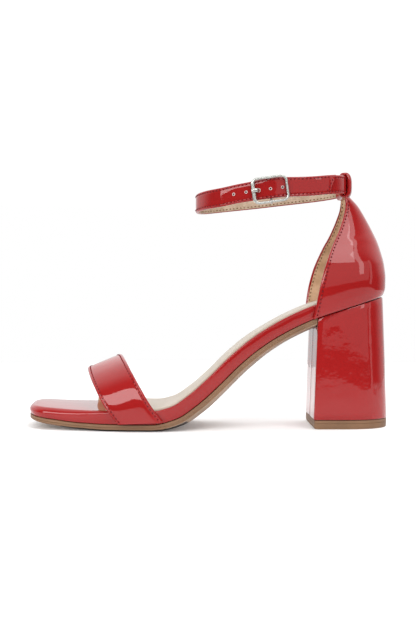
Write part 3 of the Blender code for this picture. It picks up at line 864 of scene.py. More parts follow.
def sweep(bm, path, radius, sides=16, closed=False, flat=1.0, out=None, deep=None):
    """Wire along a path, round or flattened; deep is its half depth where only the width changes."""
    count = len(path)
    rings = []
    side = None
    for i, point in enumerate(path):
        before = path[i - 1] if closed or i else point
        after = path[(i + 1) % count] if closed or i < count - 1 else point
        run = (after - before).normalized()
        if out is not None:
            up = (out - run * out.dot(run)).normalized()
            side = run.cross(up)
        elif side is None:
            side = run.orthogonal().normalized()
            up = side.cross(run)
        else:
            side = (side - run * side.dot(run)).normalized()
            up = side.cross(run)
        wide = radius(i / (count - 1)) if callable(radius) else radius
        thick = wide * flat if deep is None else deep
        ring = []
        for k in range(sides):
            turn = 2.0 * math.pi * k / sides
            reach = side * (wide * math.cos(turn)) + up * (thick * math.sin(turn))
            ring.append(bm.verts.new(point + reach))
        rings.append(ring)
    for lower, upper in zip(rings, rings[1:]):
        band(bm, lower, upper)
    if closed:
        band(bm, rings[-1], rings[0])
    else:
        bm.faces.new(rings[0][::-1])
        bm.faces.new(rings[-1])


def bend(points, steps=6):
    """Smooth run through a few points."""
    ends = [points[0] * 2.0 - points[1]] + list(points) + [points[-1] * 2.0 - points[-2]]
    path = []
    for a, b, c, d in zip(ends, ends[1:], ends[2:], ends[3:]):
        for k in range(steps):
            t = k / steps
            path.append(0.5 * (2.0 * b + (c - a) * t + (2.0 * a - 5.0 * b + 4.0 * c - d) * t * t
                               + (3.0 * b - a - 3.0 * c + d) * t ** 3))
    return path + [points[-1]]


# Finishes


class Term:
    """A socket that takes part in shader sums written as Python expressions."""

    def __init__(self, paint, socket):
        self.paint = paint
        self.socket = socket

    def sum(self, operation, first, second):
        return self.paint.node("ShaderNodeMath", {"operation": operation}, {0: first, 1: second})

    def __add__(self, other):
        return self.sum("ADD", self, other)

    def __radd__(self, other):
        return self.sum("ADD", other, self)

    def __sub__(self, other):
        return self.sum("SUBTRACT", self, other)

    def __rsub__(self, other):
        return self.sum("SUBTRACT", other, self)

    def __mul__(self, other):
        return self.sum("MULTIPLY", self, other)

    def __rmul__(self, other):
        return self.sum("MULTIPLY", other, self)


class Paint:
    """A node tree and the nodes that paint with it."""

    def __init__(self, tree):
        self.tree = tree

    def node(self, kind, settings=None, inputs=None, output=0):
        """Node of a kind: its settings first, then the values or links of its sockets."""
        made = self.tree.nodes.new(kind)
        for name, value in (settings or {}).items():
            setattr(made, name, value)
        for name, value in (inputs or {}).items():
            self.feed(made.inputs[name], value)
        return Term(self, made.outputs[output])

    def feed(self, socket, value):
        if isinstance(value, Term):
            self.tree.links.new(value.socket, socket)
        else:
            socket.default_value = value

    def place(self):
        """Position on the piece, in metres."""
        return self.node("ShaderNodeTexCoord", output="Object")

    def axis(self, where, name):
        return self.node("ShaderNodeSeparateXYZ", None, {0: where}, name)

    def grain(self, scale, detail=2.0, rough=0.5):
        return self.node("ShaderNodeTexNoise", None, {
            "Vector": self.place(), "Scale": scale, "Detail": detail, "Roughness": rough})

    def pores(self, scale):
        """Distance to the creases of a fine leather grain."""
        return self.node("ShaderNodeTexVoronoi", {"feature": "DISTANCE_TO_EDGE"}, {
            "Vector": self.place(), "Scale": scale})

    def blend(self, part, first, second):
        """Colour between two others."""
        return self.node("ShaderNodeMix", {"data_type": "RGBA"}, {0: part, 6: first, 7: second}, 2)

    def bump(self, height, distance, strength=1.0, over=None):
        inputs = {"Height": height, "Distance": distance, "Strength": strength}
        if over:
            inputs["Normal"] = over
        return self.node("ShaderNodeBump", None, inputs)

    def step(self, low, high, value, first=0.0, last=1.0):
        """Smooth change from a first to a last value while another goes from low to high."""
        return self.node("ShaderNodeMapRange", {"interpolation_type": "SMOOTHSTEP"}, {
            "Value": value, "From Min": low, "From Max": high, "To Min": first, "To Max": last})


class Finish(Paint):
    """A procedural material."""

    def __init__(self, name):
        self.material = bpy.data.materials.new(name)
        self.material.use_nodes = True
        super().__init__(self.material.node_tree)
        self.shader = self.tree.nodes["Principled BSDF"]

    def set(self, **sockets):
        for name, value in sockets.items():
            self.feed(self.shader.inputs[name.replace("_", " ")], value)


def tint(colour, *parts):
    """Colour for a socket, scaled by one part or by one for each channel."""
    return tuple(c * part for c, part in zip(colour, (parts or (1.0,)) * 3)) + (1.0,)


def colours():
    return bpy.context.scene.sandal_colours


@lru_cache(maxsize=None)
def patent(name="red_patent_leather", ripple=0.35, detail=1.0):
    """Red patent leather: a clear gloss over a softly uneven hide."""
    red = Finish(name)
    cloud = red.step(0.35, 0.7, red.grain(26.0))
    wave = red.bump(red.grain(95.0, detail, 0.45), 0.35 * MM, ripple)
    smudge = red.grain(60.0, 4.0, 0.6)
    red.set(Base_Color=red.blend(cloud, tint(colours().patent_deep), tint(colours().patent)),
            Roughness=0.03 + 0.03 * smudge, IOR=1.46,
            Normal=red.bump(red.grain(900.0), 0.02 * MM, 0.35, wave))
    return red.material


@lru_cache(maxsize=None)
def hole_shade():
    """Matt dark red painted shadow: a plug at the bottom of the holes, where they fall into shade."""
    shadow = Finish("dark_red_flesh_side")
    nap = shadow.grain(1200.0, 4.0, 0.7)
    tone = shadow.blend(nap, (0.07, 0.004, 0.005, 1.0), (0.16, 0.009, 0.01, 1.0))
    shadow.set(Base_Color=tone, Roughness=0.8 + 0.15 * nap, Specular_IOR_Level=0.1,
            Normal=shadow.bump(nap, 0.06 * MM, 0.6))
    return shadow.material


@lru_cache(maxsize=None)
def hole_rim_finish():
    """Pale ring round a punched hole."""
    pale = Finish("pale_cut_edge")
    fibre = pale.grain(900.0, 4.0, 0.6)
    tone = pale.blend(fibre, (0.50, 0.38, 0.36, 1.0), (0.74, 0.66, 0.64, 1.0))
    pale.set(Base_Color=tone, Roughness=0.4 + 0.2 * fibre, Normal=pale.bump(fibre, 0.04 * MM, 0.5))
    return pale.material


@lru_cache(maxsize=None)
def lining(name="tan_lining_leather", colour="lining"):
    """Tan lining leather with a fine pore grain."""
    tan = Finish(name)
    cloud = tan.grain(140.0, 4.0, 0.6)
    c = getattr(colours(), colour)
    tone = tan.blend(tan.step(0.3, 0.75, cloud), tint(c, 0.72, 0.68, 0.62), tint(c))
    soft = tan.bump(cloud, 0.1 * MM, 0.4)
    tan.set(Base_Color=tone, Roughness=0.5 + 0.2 * cloud,
            Normal=tan.bump(tan.step(0.0, 0.25, tan.pores(900.0)), 0.06 * MM, 0.6, soft))
    return tan.material


@lru_cache(maxsize=None)
def sock():
    """Beige sock leather, satin and softly creased."""
    beige = Finish("beige_sock_leather")
    cloud = beige.grain(70.0, 5.0, 0.6)
    c = colours().sock
    tone = beige.blend(beige.step(0.3, 0.7, cloud), tint(c, 0.88, 0.86, 0.82), tint(c))
    soft = beige.bump(cloud, 0.2 * MM, 0.35)
    beige.set(Base_Color=tone, Roughness=0.36 + 0.15 * cloud,
              Normal=beige.bump(beige.step(0.0, 0.2, beige.pores(1100.0)), 0.05 * MM, 0.6, soft))
    return beige.material


@lru_cache(maxsize=None)
def rubber(name="tan_sole_rubber", colour="rubber"):
    """Moulded rubber with fine trimming lines along its edge."""
    tan = Finish(name)
    ridge = tan.node("ShaderNodeAttribute", {"attribute_name": "depth"}, None, "Fac")
    line = tan.node("ShaderNodeMath", {"operation": "SINE"}, {0: ridge * 9.0})
    speck = tan.grain(520.0, 4.0, 0.7)
    cloud = tan.grain(45.0, 3.0, 0.6)
    c = getattr(colours(), colour)
    worn = tan.step(0.2, 0.8, cloud * 0.6 + speck * 0.25 + line * 0.09 + 0.09)
    tan.set(Base_Color=tan.blend(worn, tint(c, 0.72, 0.7, 0.66), tint(c, 1.18, 1.18, 1.2)),
            Roughness=0.45 + 0.2 * speck,
            Normal=tan.bump(line, 0.04 * MM, 0.5, tan.bump(speck, 0.05 * MM, 0.5)))
    return tan.material


@lru_cache(maxsize=None)
def metal():
    """Polished pale metal with fine rubbed lines."""
    bright = Finish("polished_buckle_metal")
    rub = bright.grain(700.0, 3.0, 0.6)
    c = colours().metal
    bright.set(Base_Color=bright.blend(bright.grain(160.0), tint(c, 0.86), tint(c)), Metallic=1.0,
               Roughness=0.26 + 0.14 * rub, Normal=bright.bump(rub, 0.01 * MM, 0.3))
    return bright.material


@lru_cache(maxsize=None)
def thread(name="dark_red_thread", colour="thread"):
    """Twisted sewing thread."""
    spun = Finish(name)
    twist = spun.grain(2600.0, 2.0, 0.6)
    c = getattr(colours(), colour)
    spun.set(Base_Color=spun.blend(twist, tint(c), tint(c, 1.6, 1.7, 1.7)),
             Roughness=0.5 + 0.2 * twist, Specular_IOR_Level=0.12,
             Normal=spun.bump(twist, 0.04 * MM, 0.6))
    return spun.material


# Placing


def link(name, data):
    """New object in the scene."""
    made = bpy.data.objects.new(name, data)
    bpy.context.scene.collection.objects.link(made)
    return made


def mesh_in_metres(name, bm):
    bmesh.ops.scale(bm, vec=(MM, MM, MM), verts=bm.verts)
    bmesh.ops.recalc_face_normals(bm, faces=bm.faces)
    mesh = bpy.data.meshes.new(name)
    bm.to_mesh(mesh)
    bm.free()
    return mesh


def place(name, bm, skins, slot, *nodes, sharp=PIECE_CREASE):
    """Piece in metres that rides with the shoe and stands for its solids."""
    mesh = mesh_in_metres(name, bm)
    for skin in skins:
        mesh.materials.append(skin)
    mesh.shade_smooth()
    mesh.set_sharp_from_angle(angle=math.radians(sharp))
    piece = link(name, mesh)
    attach(piece, "root")
    if nodes:
        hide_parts(*nodes)
    return piece


def mark_depth(piece, depth):
    """Depth in millimetres, kept on each corner for the trimming lines."""
    kept = piece.data.attributes.new("depth", "FLOAT", "POINT")
    for vert, value in zip(piece.data.vertices, kept.data):
        value.value = depth(vert.co / MM)


# Pieces


TOE_END = End(TOE_X, TOE_CAP, TOE_SQUARE, 26)
SEAT_END = End(SEAT_BACK, SEAT_CAP, SEAT_SQUARE, 34)


class SANDAL_OT_footbed(bpy.types.Operator):
    """Footbed wrapped in patent leather, with a rounded shoulder and a padded toe"""

    bl_idname = "sandal.footbed"
    bl_label = "Footbed"

    def execute(self, context):
        loop = sole_loop(TOE_END, SEAT_END, 110)

        def shoulder(x):
            return mix(SHOULDER_TOE, SHOULDER_WAIST, ease(TOE_X + TOE_CAP, SHOULDER_END, x))

        def bottom(x):
            return sole("midsole", x)

        def over_hem(rise):
            return lambda x: bottom(x) - rise

        def drawn(part):
            return lambda x: part * shoulder(x) * (1.0 - ease(*SHOULDER_FADE, x))

        def drop(part):
            return lambda x: part * min(shoulder(x), SHOULDER_MOST * bottom(x))

        rings = [sole_ring(loop, plain(step.inset), over_hem(step.rise), step.flare) for step in WRAP_HEM]
        rings.append(sole_ring(
            loop, plain(SIDE_INSET), lambda x: mix(bottom(x), shoulder(x), SIDE_LEVEL), SIDE_FLARE))
        for k in range(SHOULDER_STEPS + 1):
            part = k / SHOULDER_STEPS
            turn = 0.5 * math.pi * part
            flare = mix(SHOULDER_FLARE, 1.0, part)
            rings.append(sole_ring(loop, drawn(1.0 - math.cos(turn)), drop(1.0 - math.sin(turn)), flare))

        def crown(x, t):
            return TOE_PAD_CROWN * 4.0 * t * (1.0 - t) * (1.0 - ease(*TOE_PAD_FADE, x))

        place("footbed_wrap", slab(rings, 14, crown), [patent()], "red_patent", "midsole")
        return {"FINISHED"}


class SANDAL_OT_outsole(bpy.types.Operator):
    """Tan outsole with a grooved edge and a bevelled waist"""

    bl_idname = "sandal.outsole"
    bl_label = "Outsole"

    def execute(self, context):
        loop = sole_loop(TOE_END, End(BREAST_TOP + SOLE_RUN_UNDER, 1.0, 8.0, 2), 130)

        def top(x):
            return sole("midsole", x) + GAP

        # Weight of the forefoot zone on the floor: it deepens the recess and carries the painted contact
        # shadow.
        def tread(x):
            return ease(*TREAD_FRONT, x) * (1.0 - ease(*TREAD_BACK, x))

        def side(x):
            share = mix(SOLE_SIDE, TREAD_SIDE, tread(x))
            return top(x) + min(share * sole("outsole", x), SOLE_SIDE_MOST)

        def bottom(x):
            return top(x) + sole("outsole", x)

        def waist(step):
            return lambda x: sole("bevel", x) * step.bevel + step.recess * tread(x) + SOLE_DRAW

        def under(step):
            return lambda x: mix(side(x), bottom(x), mix(step.low, step.tread_low, tread(x)))

        def down(part):
            return lambda x: mix(top(x), side(x), part)

        rings = [sole_ring(loop, waist(step), under(step)) for step in SOLE_BEVEL]
        rings += [sole_ring(loop, plain(step.inset), down(step.down)) for step in SOLE_RIM]
        bm = slab(rings)
        bm.faces.ensure_lookup_table()
        # Painted shadow: the lowest faces of the forefoot sole take a near-black rubber for the shade where
        # it meets the floor.
        for face in bm.faces[:2 * len(loop)]:
            if tread(face.calc_center_median().x) > CONTACT_SHADE_FROM:
                face.material_index = 2
        bmesh.ops.recalc_face_normals(bm, faces=bm.faces)
        self.trim_at_breast(bm)
        # Painted light: bevel faces at the waist that turn down and sideways towards the floor take a paler
        # rubber for the floor's bounce light.
        for face in bm.faces:
            trimmed = abs(face.normal.y) > FLOOR_LIGHT_LEAN and face.normal.z < FLOOR_LIGHT_DOWN
            if trimmed and face.calc_center_median().x > FLOOR_LIGHT_FROM and face.material_index == 0:
                face.material_index = 1
        skins = [rubber(), rubber("pale_sole_rubber", "floor_lit_edge"), rubber("dark_sole_rubber", "tread")]
        piece = place("outsole_tread", bm, skins, "tan_rubber", "outsole")
        mark_depth(piece, lambda spot: layer(round(spot.x, 2), 0.0) - spot.z)
        return {"FINISHED"}

    def trim_at_breast(self, bm):
        """Cuts the sole off where it meets the heel's breast."""
        high = layer(BREAST_TOP, SEAT_DEPTH + GAP)
        normal = Vector((high, 0.0, BREAST_BOTTOM - BREAST_TOP)).normalized()
        seam = Vector((BREAST_TOP, 0.0, high)) - normal * GAP
        every = bm.verts[:] + bm.edges[:] + bm.faces[:]
        cut = bmesh.ops.bisect_plane(bm, geom=every, plane_co=seam, plane_no=normal, clear_outer=True)
        rim = [edge for edge in cut["geom_cut"] if isinstance(edge, bmesh.types.BMEdge)]
        bmesh.ops.edgeloop_fill(bm, edges=rim)


class SANDAL_OT_sock(bpy.types.Operator):
    """Padded beige sock over the footbed"""

    bl_idname = "sandal.sock"
    bl_label = "Padded sock"

    def execute(self, context):
        front = End(SOCK_FRONT, SOCK_FRONT_CAP, SOCK_FRONT_SQUARE, 8)
        loop = sole_loop(front, SEAT_END, 110)

        def drawn(extra):
            return lambda x: mix(SOCK_INSET, SOCK_SEAT_INSET, ease(*SOCK_SEAT, x)) + extra

        def crown(x, t):
            swell = 1.0 - abs(2.0 * t - 1.0) ** SOCK_CROWN_SQUARE
            return SOCK_CROWN * (1.0 - ease(*SOCK_FLAT, x)) * swell

        rings = [sole_ring(loop, drawn(step.draw), plain(-step.high), 1.0) for step in SOCK_STEPS]
        piece = place("sock_pad", slab(rings, 18, crown), [sock()], "beige_sock", "insole")
        return {"FINISHED"}


def heel_outline(breast, back, half, draw):
    """Plan of the heel: flat breast with its seam, straight sides, round back."""
    front = breast + draw
    wide = half - draw
    turn = back - draw - HEEL_CAP
    lateral = [(front + sink, -reach) for reach, sink in BREAST_SEAM]
    lateral += [(front, -wide * 0.25 * k) for k in range(1, 4)]
    for k in range(BREAST_EDGE_STEPS + 1):
        angle = 0.5 * math.pi * k / BREAST_EDGE_STEPS
        lateral.append((front + BREAST_EDGE * (1.0 - math.cos(angle)),
                        -wide + BREAST_EDGE * (1.0 - math.sin(angle))))
    lateral += [(mix(front + BREAST_EDGE, turn, 0.25 * k), -wide) for k in range(1, 4)]
    for i in range(HEEL_BACK_STEPS + 1):
        s, c = super_arc(0.5 * math.pi * i / HEEL_BACK_STEPS, HEEL_SQUARE)
        lateral.append((turn + HEEL_CAP * c, -wide * s if i < HEEL_BACK_STEPS else 0.0))
    return lateral + [(x, -y) for x, y in lateral[-2:0:-1]]


def heel_ring(part, draw, drop=0.0):
    """Outline of the block a part of the way up from the top piece to the seat."""
    low = heel_outline(BREAST_BOTTOM, HEEL_BACK_BOTTOM, HEEL_HALF_BOTTOM, draw)
    high = heel_outline(BREAST_TOP, HEEL_BACK_TOP, HEEL_HALF_TOP, draw)
    foot = TOP_PIECE + GAP
    ring = []
    for (x0, y0), (x1, y1) in zip(low, high):
        seat = layer(round(x1, 3), SEAT_DEPTH + GAP)
        ring.append(Vector((mix(x0, x1, part), mix(y0, y1, part), mix(foot, seat, part) - drop)))
    return ring


class SANDAL_OT_heel(bpy.types.Operator):
    """Patent covered block and its rubber top piece"""

    bl_idname = "sandal.heel"
    bl_label = "Block heel"

    def execute(self, context):
        sides = [heel_ring(k / HEEL_LEVELS, 0.0) for k in range(1, HEEL_LEVELS)]
        for spot in sum(sides, []):
            if abs(spot.y) > HEEL_WAVE_CLEAR:
                spot.y += math.copysign(HEEL_WAVE * noise.noise(spot * HEEL_WAVE_SCALE), spot.y)
        rings = [heel_ring(0.0, step.draw, -step.off) for step in HEEL_FOOT] + sides
        rings += [heel_ring(1.0, step.draw, step.off) for step in HEEL_HEAD]
        skin = patent("red_patent_heel", 0.5, 4.0)
        place("heel_cover", slab(rings), [skin], "red_patent", "heel_block")
        lift = []
        for step in LIFT_STEPS:
            breast = BREAST_BOTTOM + step.bevel
            outline = heel_outline(breast, HEEL_BACK_BOTTOM, HEEL_HALF_BOTTOM, step.draw)
            lift.append([Vector((x, y, step.high)) for x, y in outline])
        piece = place("heel_lift", slab(lift), [rubber()], "tan_rubber", "heel_top_piece", sharp=LIFT_CREASE)
        mark_depth(piece, lambda spot: spot.z)
        return {"FINISHED"}


def even(count):
    return [i / count for i in range(count + 1)]


def leather(name, bm, skins, node):
    """Sewn leather piece that stands for a solid."""
    return place(name, bm, skins, "red_patent", node, sharp=LEATHER_CREASE)


class SANDAL_OT_front_strap(bpy.types.Operator):
    """Broad front strap with folded, sewn edges and a tan lining"""

    bl_idname = "sandal.front_strap"
    bl_label = "Front strap"

    def execute(self, context):
        bead = context.scene.sandal_sizes.bead / MM
        inset = context.scene.sandal_sizes.seam_inset / MM
        face = Face(vamp_point, True, 60)

        def lift(c, width, along):
            edge = min(c, width - c)
            puff = STRAP_PUFF * ease(inset, STRAP_PUFF_REACH, edge)
            return seam_lift(edge, bead, inset) + puff + dented(STRAP_DENTS, c / width, along)

        bm = hide_band(face, even(150), STRAP_WALL, 14, lift)
        leather("front_strap_leather", bm, [patent("red_patent_strap", 0.2), lining()], "vamp_strap")
        rows = bmesh.new()
        for side in (inset, -inset):
            sew(rows, seam_run(face, even(300)[3:-3], side, lift))
        place("front_strap_stitches", rows, [thread()], "red_patent")
        return {"FINISHED"}


class SANDAL_OT_counter(bpy.types.Operator):
    """Hollow back with sewn front edges, creases and a tan lining"""

    bl_idname = "sandal.counter"
    bl_label = "Heel counter"

    def execute(self, context):
        bead = COUNTER_BEAD * context.scene.sandal_sizes.bead / MM
        inset = context.scene.sandal_sizes.seam_inset / MM
        face = Face(counter_point, True, 120)

        def lift(c, width, along):
            foot = -COUNTER_TUCK * math.exp(-(along / COUNTER_TUCK_REACH) ** 2)
            dent = dented(COUNTER_DENTS, c / width, along)
            return seam_lift(min(c, width - c), bead, inset) + foot + dent

        stations = [*COUNTER_FOOT, *(mix(*COUNTER_BODY, t) for t in even(COUNTER_BODY_STEPS)), *COUNTER_TOP]
        bm = hide_band(face, stations, COUNTER_WALL, 64, lift, 0)
        leather("counter_leather", bm, [patent("red_patent_back", 0.2), lining()], "heel_counter")
        rows = bmesh.new()
        back = bmesh.new()
        seam = inset - COUNTER_SEAM_SHIFT
        for side in (seam, -seam):
            sew(rows, seam_run(face, even(260)[3:-2], side, lift), COUNTER_THREAD)
            sew(back, seam_run(face, even(260)[3:-2], side, lambda *_: -COUNTER_WALL, -1.0))
        place("counter_stitches", rows, [thread()], "red_patent")
        place("counter_lining_stitches", back, [thread("brown_thread", "lining_thread")], "red_patent")
        return {"FINISHED"}


class SANDAL_OT_ankle_strap(bpy.types.Operator):
    """Ankle strap in two layers with punched holes, sewn edges and its loop at the back"""

    bl_idname = "sandal.ankle_strap"
    bl_label = "Ankle strap"

    def execute(self, context):
        bead = ANKLE_BEAD * context.scene.sandal_sizes.bead / MM
        inset = ANKLE_SEAM * context.scene.sandal_sizes.seam_inset / MM
        face = Face(ankle_point, False, 24)

        def lift(c, width, along):
            edge = min(c, width - c)
            return seam_lift(edge, bead, inset) + ANKLE_PUFF * ease(inset, ANKLE_PUFF_REACH, edge)

        bm = hide_band(face, even(420), ANKLE_WALL, 5, lift, 1)
        # The ankle lining is a darker copy of the tan lining: painted shade where that lining is lit.
        skins = [patent(), lining("ankle_lining_leather", "ankle_lining")]
        self.punch(leather("ankle_strap_leather", bm, skins, "ankle_strap"))
        rows = bmesh.new()
        back = bmesh.new()
        for side in (inset, -inset):
            sew(rows, seam_run(face, even(900)[6:-6], side, lift))
            sew(back, seam_run(face, even(900)[6:-6], side, lambda *_: -ANKLE_WALL, -1.0))
        place("ankle_lining_stitches", back, [thread("brown_thread", "lining_thread")], "red_patent")
        width = face.width(TIP_SEAM)
        tip = []
        for c in (mix(inset, width - inset, t) for t in even(30)):
            tip += seam_run(face, [TIP_SEAM], c, lift)
        sew(rows, tip)
        place("ankle_strap_stitches", rows, [thread()], "red_patent")
        self.rims()
        self.keeper()
        return {"FINISHED"}

    def holes(self):
        """Middle of each hole, the ways along and out of the strap there, and if the prong is in it."""
        for k in range(-HOLES_EACH_WAY, HOLES_EACH_WAY + 1):
            spot, run, outward = ankle_frame(ankle_turn(PRONG_HOLE_X + k * HOLE_PITCH))
            middle = spot + Vector((0.0, 0.0, 0.5 * ANKLE_WIDTH)) + outward * (LAYER + HOLE_LIFT)
            yield middle, run, outward, k == 0

    def punch(self, strap):
        """Cuts the holes through the outer layer."""
        drill = bmesh.new()
        for middle, _, outward, pinned in self.holes():
            path = [middle + outward * 0.4, middle - outward * (ANKLE_WALL + GAP)]
            sweep(drill, path, PRONG_HOLE_RADIUS if pinned else HOLE_RADIUS, 24)
        mesh = mesh_in_metres("holes", drill)
        cutter = link("holes", mesh)
        step = strap.modifiers.new("holes", "BOOLEAN")
        step.operation = "DIFFERENCE"
        step.solver = "EXACT"
        step.object = cutter
        shown = strap.evaluated_get(bpy.context.evaluated_depsgraph_get())
        cut = bpy.data.meshes.new_from_object(shown)
        strap.modifiers.clear()
        old = strap.data
        strap.data = cut
        bpy.data.meshes.remove(old)
        bpy.data.objects.remove(cutter)
        bpy.data.meshes.remove(mesh)

    def rims(self):
        """Pressed rims round the holes, and a dark plug at their bottom that paints the shade inside them.
        """
        bm = bmesh.new()
        for middle, run, outward, pinned in self.holes():
            radius = PRONG_HOLE_RADIUS if pinned else HOLE_RADIUS - RIM_INSET
            up = outward.cross(run)
            ring = []
            for i in range(RIM_STEPS):
                turn = 2.0 * math.pi * i / RIM_STEPS
                reach = run * (radius * math.cos(turn)) + up * (radius * math.sin(turn))
                ring.append(middle + reach - outward * RIM_INSET)
            sweep(bm, ring, RIM_WIRE, 10, True)
            rim = len(bm.faces)
            # Painted shadow: a dark plug partway down each hole stands in for the shade inside it.
            sweep(bm, [middle - outward * HOLE_SHADE_DEPTH, middle - outward * ANKLE_WALL], radius, 20)
            bm.faces.ensure_lookup_table()
            for made in bm.faces[rim:]:
                made.material_index = 1
        place("strap_hole_rims", bm, [hole_rim_finish(), hole_shade()], "red_patent")

    def keeper(self):
        """Loop on the back tab that holds the strap."""
        bm = bmesh.new()
        spots = [*LOOP_EDGE, *(mix(*LOOP_BODY, t) for t in even(10)), *(1.0 - u for u in LOOP_EDGE[::-1])]
        outside = []
        for u in spots:
            flat = min(min(u, 1.0 - u) / LOOP_ROLL, 1.0)
            outside.append((u, 0.5 * LOOP_WALL * (1.0 - math.sqrt(max(0.0, 1.0 - (1.0 - flat) ** 2)))))
        sections = outside + [(u, LOOP_WALL - roll) for u, roll in outside[::-1]]
        rings = []
        for k in range(LOOP_AROUND):
            v = k / LOOP_AROUND
            thick = 1.0 + LOOP_PADDING + LOOP_SWELL * abs(math.cos(2.0 * math.pi * v))
            ring = []
            for u, sink in sections:
                normal = facing(loop_point, min(max(u, 0.01), 0.99), min(max(v, 0.002), 0.998))
                ring.append(bm.verts.new(loop_point(u, v) - normal * sink * thick))
            rings.append(ring)
        for lower, upper in zip(rings, rings[1:] + rings[:1]):
            band(bm, lower, upper)
        bmesh.ops.remove_doubles(bm, verts=bm.verts, dist=0.0001)
        leather("strap_keeper", bm, [patent()], "strap_loop")


class SANDAL_OT_buckle(bpy.types.Operator):
    """Polished buckle frame with its bar and prong"""

    bl_idname = "sandal.buckle"
    bl_label = "Buckle"

    def execute(self, context):
        out = LAYER + GAP + BUCKLE_WIRE
        half_long = 0.5 * BUCKLE_LONG - BUCKLE_WIRE
        half_high = 0.5 * BUCKLE_HIGH - BUCKLE_WIRE
        facing_out = ankle_frame(ankle_turn(BUCKLE_X))[2]
        ring = []
        for quarter in range(4):
            back = half_long - BUCKLE_CORNER
            along = back if quarter in (0, 3) else BUCKLE_FRONT_EXTRA - back
            up = half_high - BUCKLE_CORNER if quarter in (0, 1) else BUCKLE_CORNER - half_high
            for k in range(BUCKLE_CORNER_STEPS + 1):
                turn = 0.5 * math.pi * (quarter + k / BUCKLE_CORNER_STEPS)
                x = along + BUCKLE_CORNER * math.cos(turn)
                ring.append(buckle_spot(x, up + BUCKLE_CORNER * math.sin(turn), out))

        def width(t):
            front = ease(*BUCKLE_FRONT_WIDENS, t) * (1.0 - ease(*BUCKLE_FRONT_NARROWS, t))
            return BUCKLE_WIRE + BUCKLE_FRONT_EXTRA * front

        bm = bmesh.new()
        sweep(bm, ring, width, 20, True, out=facing_out, deep=BUCKLE_FLAT * BUCKLE_WIRE)
        bar_end = BAR_DRAW - half_high
        bar = [(bar_end, out - GAP), (bar_end, 0.4 * out), (bar_end + 0.1, -BAR_WIRE)]
        bar += [(-up, deep) for up, deep in bar[::-1]]
        sweep(bm, bend([buckle_spot(0.0, up, deep) for up, deep in bar]), BAR_WIRE, 14)
        place("buckle_metal", bm, [metal()], "bright_metal", "buckle_frame", sharp=LEATHER_CREASE)
        self.prong(half_long, out + BUCKLE_WIRE + GAP + PRONG_WIRE, facing_out)
        return {"FINISHED"}

    def prong(self, half_long, rest, facing_out):
        """Pin from the bar through its hole, resting on the front of the frame."""
        hole = PRONG_HOLE_X - BUCKLE_X
        pin = (
            (-BAR_WIRE - GAP, -BAR_WIRE),
            (hole + 2.4, -BAR_WIRE),
            (hole + 1.2, -0.2),
            (hole + 0.1, LAYER + 0.5),
            (hole - 1.2, rest - 0.4),
            (-half_long, rest - 0.1),
            (-half_long - 0.9, rest - 0.3),
        )

        def taper(t):
            widened = 1.0 + PRONG_TIP_EXTRA * ease(*PRONG_WIDENS, t)
            return PRONG_WIRE * widened * min(1.0, 0.5 + (1.0 - t) * 20.0)

        bm = bmesh.new()
        path = bend([buckle_spot(x, BUCKLE_DROP, w) for x, w in pin], 8)
        sweep(bm, path, taper, 16, flat=PRONG_FLAT, out=facing_out)
        place("prong_metal", bm, [metal()], "bright_metal", "buckle_prong", sharp=LEATHER_CREASE)


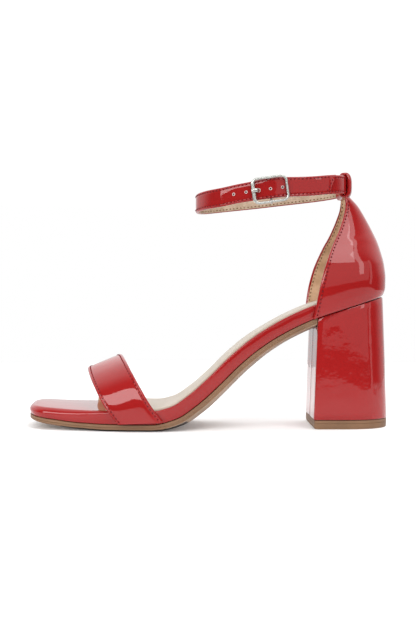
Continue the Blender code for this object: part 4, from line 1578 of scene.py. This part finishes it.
class SANDAL_OT_stage(bpy.types.Operator):
    """Pale floor, soft studio light and the camera"""

    bl_idname = "sandal.stage"
    bl_label = "Stage"

    def execute(self, context):
        scene = context.scene
        scene.view_settings.view_transform = "Standard"
        self.floor()
        self.sky(scene)
        for lamp in LAMPS:
            self.shine(lamp)
        lens = bpy.data.cameras.new("camera")
        lens.sensor_width = SENSOR
        lens.lens = 0.5 * SENSOR / HALF_VIEW
        lens.clip_start = 0.01
        camera = link("camera", lens)
        camera.location = (0.0, -scene.sandal_sizes.camera_distance, scene.sandal_sizes.camera_height)
        camera.rotation_euler = (0.5 * math.pi, 0.0, 0.0)
        scene.camera = camera
        return {"FINISHED"}

    def shine(self, lamp):
        """Soft box aimed at the shoe, seen by the leather and not by the camera."""
        light = bpy.data.lights.new(lamp.name, "AREA")
        light.shape = "RECTANGLE"
        light.size = lamp.wide
        light.size_y = lamp.high
        light.energy = lamp.glow * math.pi * lamp.wide * lamp.high
        holder = link(lamp.name, light)
        holder.location = (lamp.x, lamp.y, lamp.z)
        aim = Vector((0.0, 0.0, AIM_HEIGHT)) - holder.location
        roll = Quaternion((0.0, 0.0, 1.0), math.radians(lamp.roll))
        holder.rotation_euler = (aim.to_track_quat("-Z", "Y") @ roll).to_euler()
        holder.visible_camera = False

    def floor(self):
        """Pale floor that turns grey in front, where the leather mirrors it."""
        paint = Finish("pale_floor")
        tone = paint.grain(7.0, 3.0, 0.5)
        c = colours().floor
        pale = paint.blend(tone, tint(c, FLOOR_CLOUD), tint(c))
        front = 1.0 - paint.step(*FLOOR_GREY_SPAN, paint.axis(paint.place(), "Y"))
        paint.set(Base_Color=paint.blend(front, pale, tint(c, FLOOR_GREY)), Roughness=0.75 + 0.1 * tone,
                  Emission_Color=WHITE, Emission_Strength=FLOOR_GLOW)
        bm = bmesh.new()
        bmesh.ops.create_circle(bm, cap_ends=True, segments=96, radius=FLOOR_RADIUS)
        bmesh.ops.translate(bm, vec=(0.0, FLOOR_BEHIND, 0.0), verts=bm.verts)
        mesh = bpy.data.meshes.new("floor")
        bm.to_mesh(mesh)
        bm.free()
        mesh.materials.append(paint.material)
        ground = link("floor", mesh)

    def sky(self, scene):
        """White all round to the eye; bright behind the shoe and dim in front of it to the leather."""
        scene.world = bpy.data.worlds.new("studio")
        scene.world.use_nodes = True
        air = Paint(scene.world.node_tree)
        way = air.node("ShaderNodeTexCoord", output="Generated")
        up = air.axis(way, "Z")
        behind = air.step(*SKY_SPAN, up * SKY_LEAN + air.axis(way, "Y"), SKY_DIM)
        rise = air.node("ShaderNodeMapRange", None, {
            "Value": up, "From Max": SKY_RISE, "To Min": SKY_LOW, "To Max": SKY_HIGH})
        eye = air.node("ShaderNodeLightPath", output="Is Camera Ray")
        glow = air.node("ShaderNodeMath", {"operation": "MAXIMUM"}, {0: eye, 1: behind * rise})
        back = air.tree.nodes["Background"]
        air.feed(back.inputs["Color"], WHITE)
        air.feed(back.inputs["Strength"], glow)


OPERATORS = (
    SANDAL_OT_footbed,
    SANDAL_OT_outsole,
    SANDAL_OT_sock,
    SANDAL_OT_heel,
    SANDAL_OT_front_strap,
    SANDAL_OT_counter,
    SANDAL_OT_ankle_strap,
    SANDAL_OT_buckle,
    SANDAL_OT_stage,
)


class SANDAL_PT_pieces(bpy.types.Panel):
    """Pieces of the sandal"""

    bl_idname = "SANDAL_PT_pieces"
    bl_label = "Block heel sandal"
    bl_space_type = "VIEW_3D"
    bl_region_type = "UI"
    bl_category = "Sandal"

    def draw(self, context):
        layout = self.layout
        for operator in OPERATORS:
            layout.operator(operator.bl_idname)
        for group in (context.scene.sandal_sizes, context.scene.sandal_colours):
            box = layout.box()
            for name in group.__annotations__:
                box.prop(group, name)


CLASSES = (SandalSizes, SandalColours) + OPERATORS + (SANDAL_PT_pieces,)


def register():
    for kind in CLASSES:
        bpy.utils.register_class(kind)
    bpy.types.Scene.sandal_sizes = bpy.props.PointerProperty(type=SandalSizes)
    bpy.types.Scene.sandal_colours = bpy.props.PointerProperty(type=SandalColours)


def unregister():
    del bpy.types.Scene.sandal_colours
    del bpy.types.Scene.sandal_sizes
    for kind in reversed(CLASSES):
        bpy.utils.unregister_class(kind)


def main():
    register()
    bpy.ops.sandal.footbed()
    bpy.ops.sandal.outsole()
    bpy.ops.sandal.sock()
    bpy.ops.sandal.heel()
    bpy.ops.sandal.front_strap()
    bpy.ops.sandal.counter()
    bpy.ops.sandal.ankle_strap()
    bpy.ops.sandal.buckle()
    bpy.ops.sandal.stage()


if __name__ == "__main__":
    main()
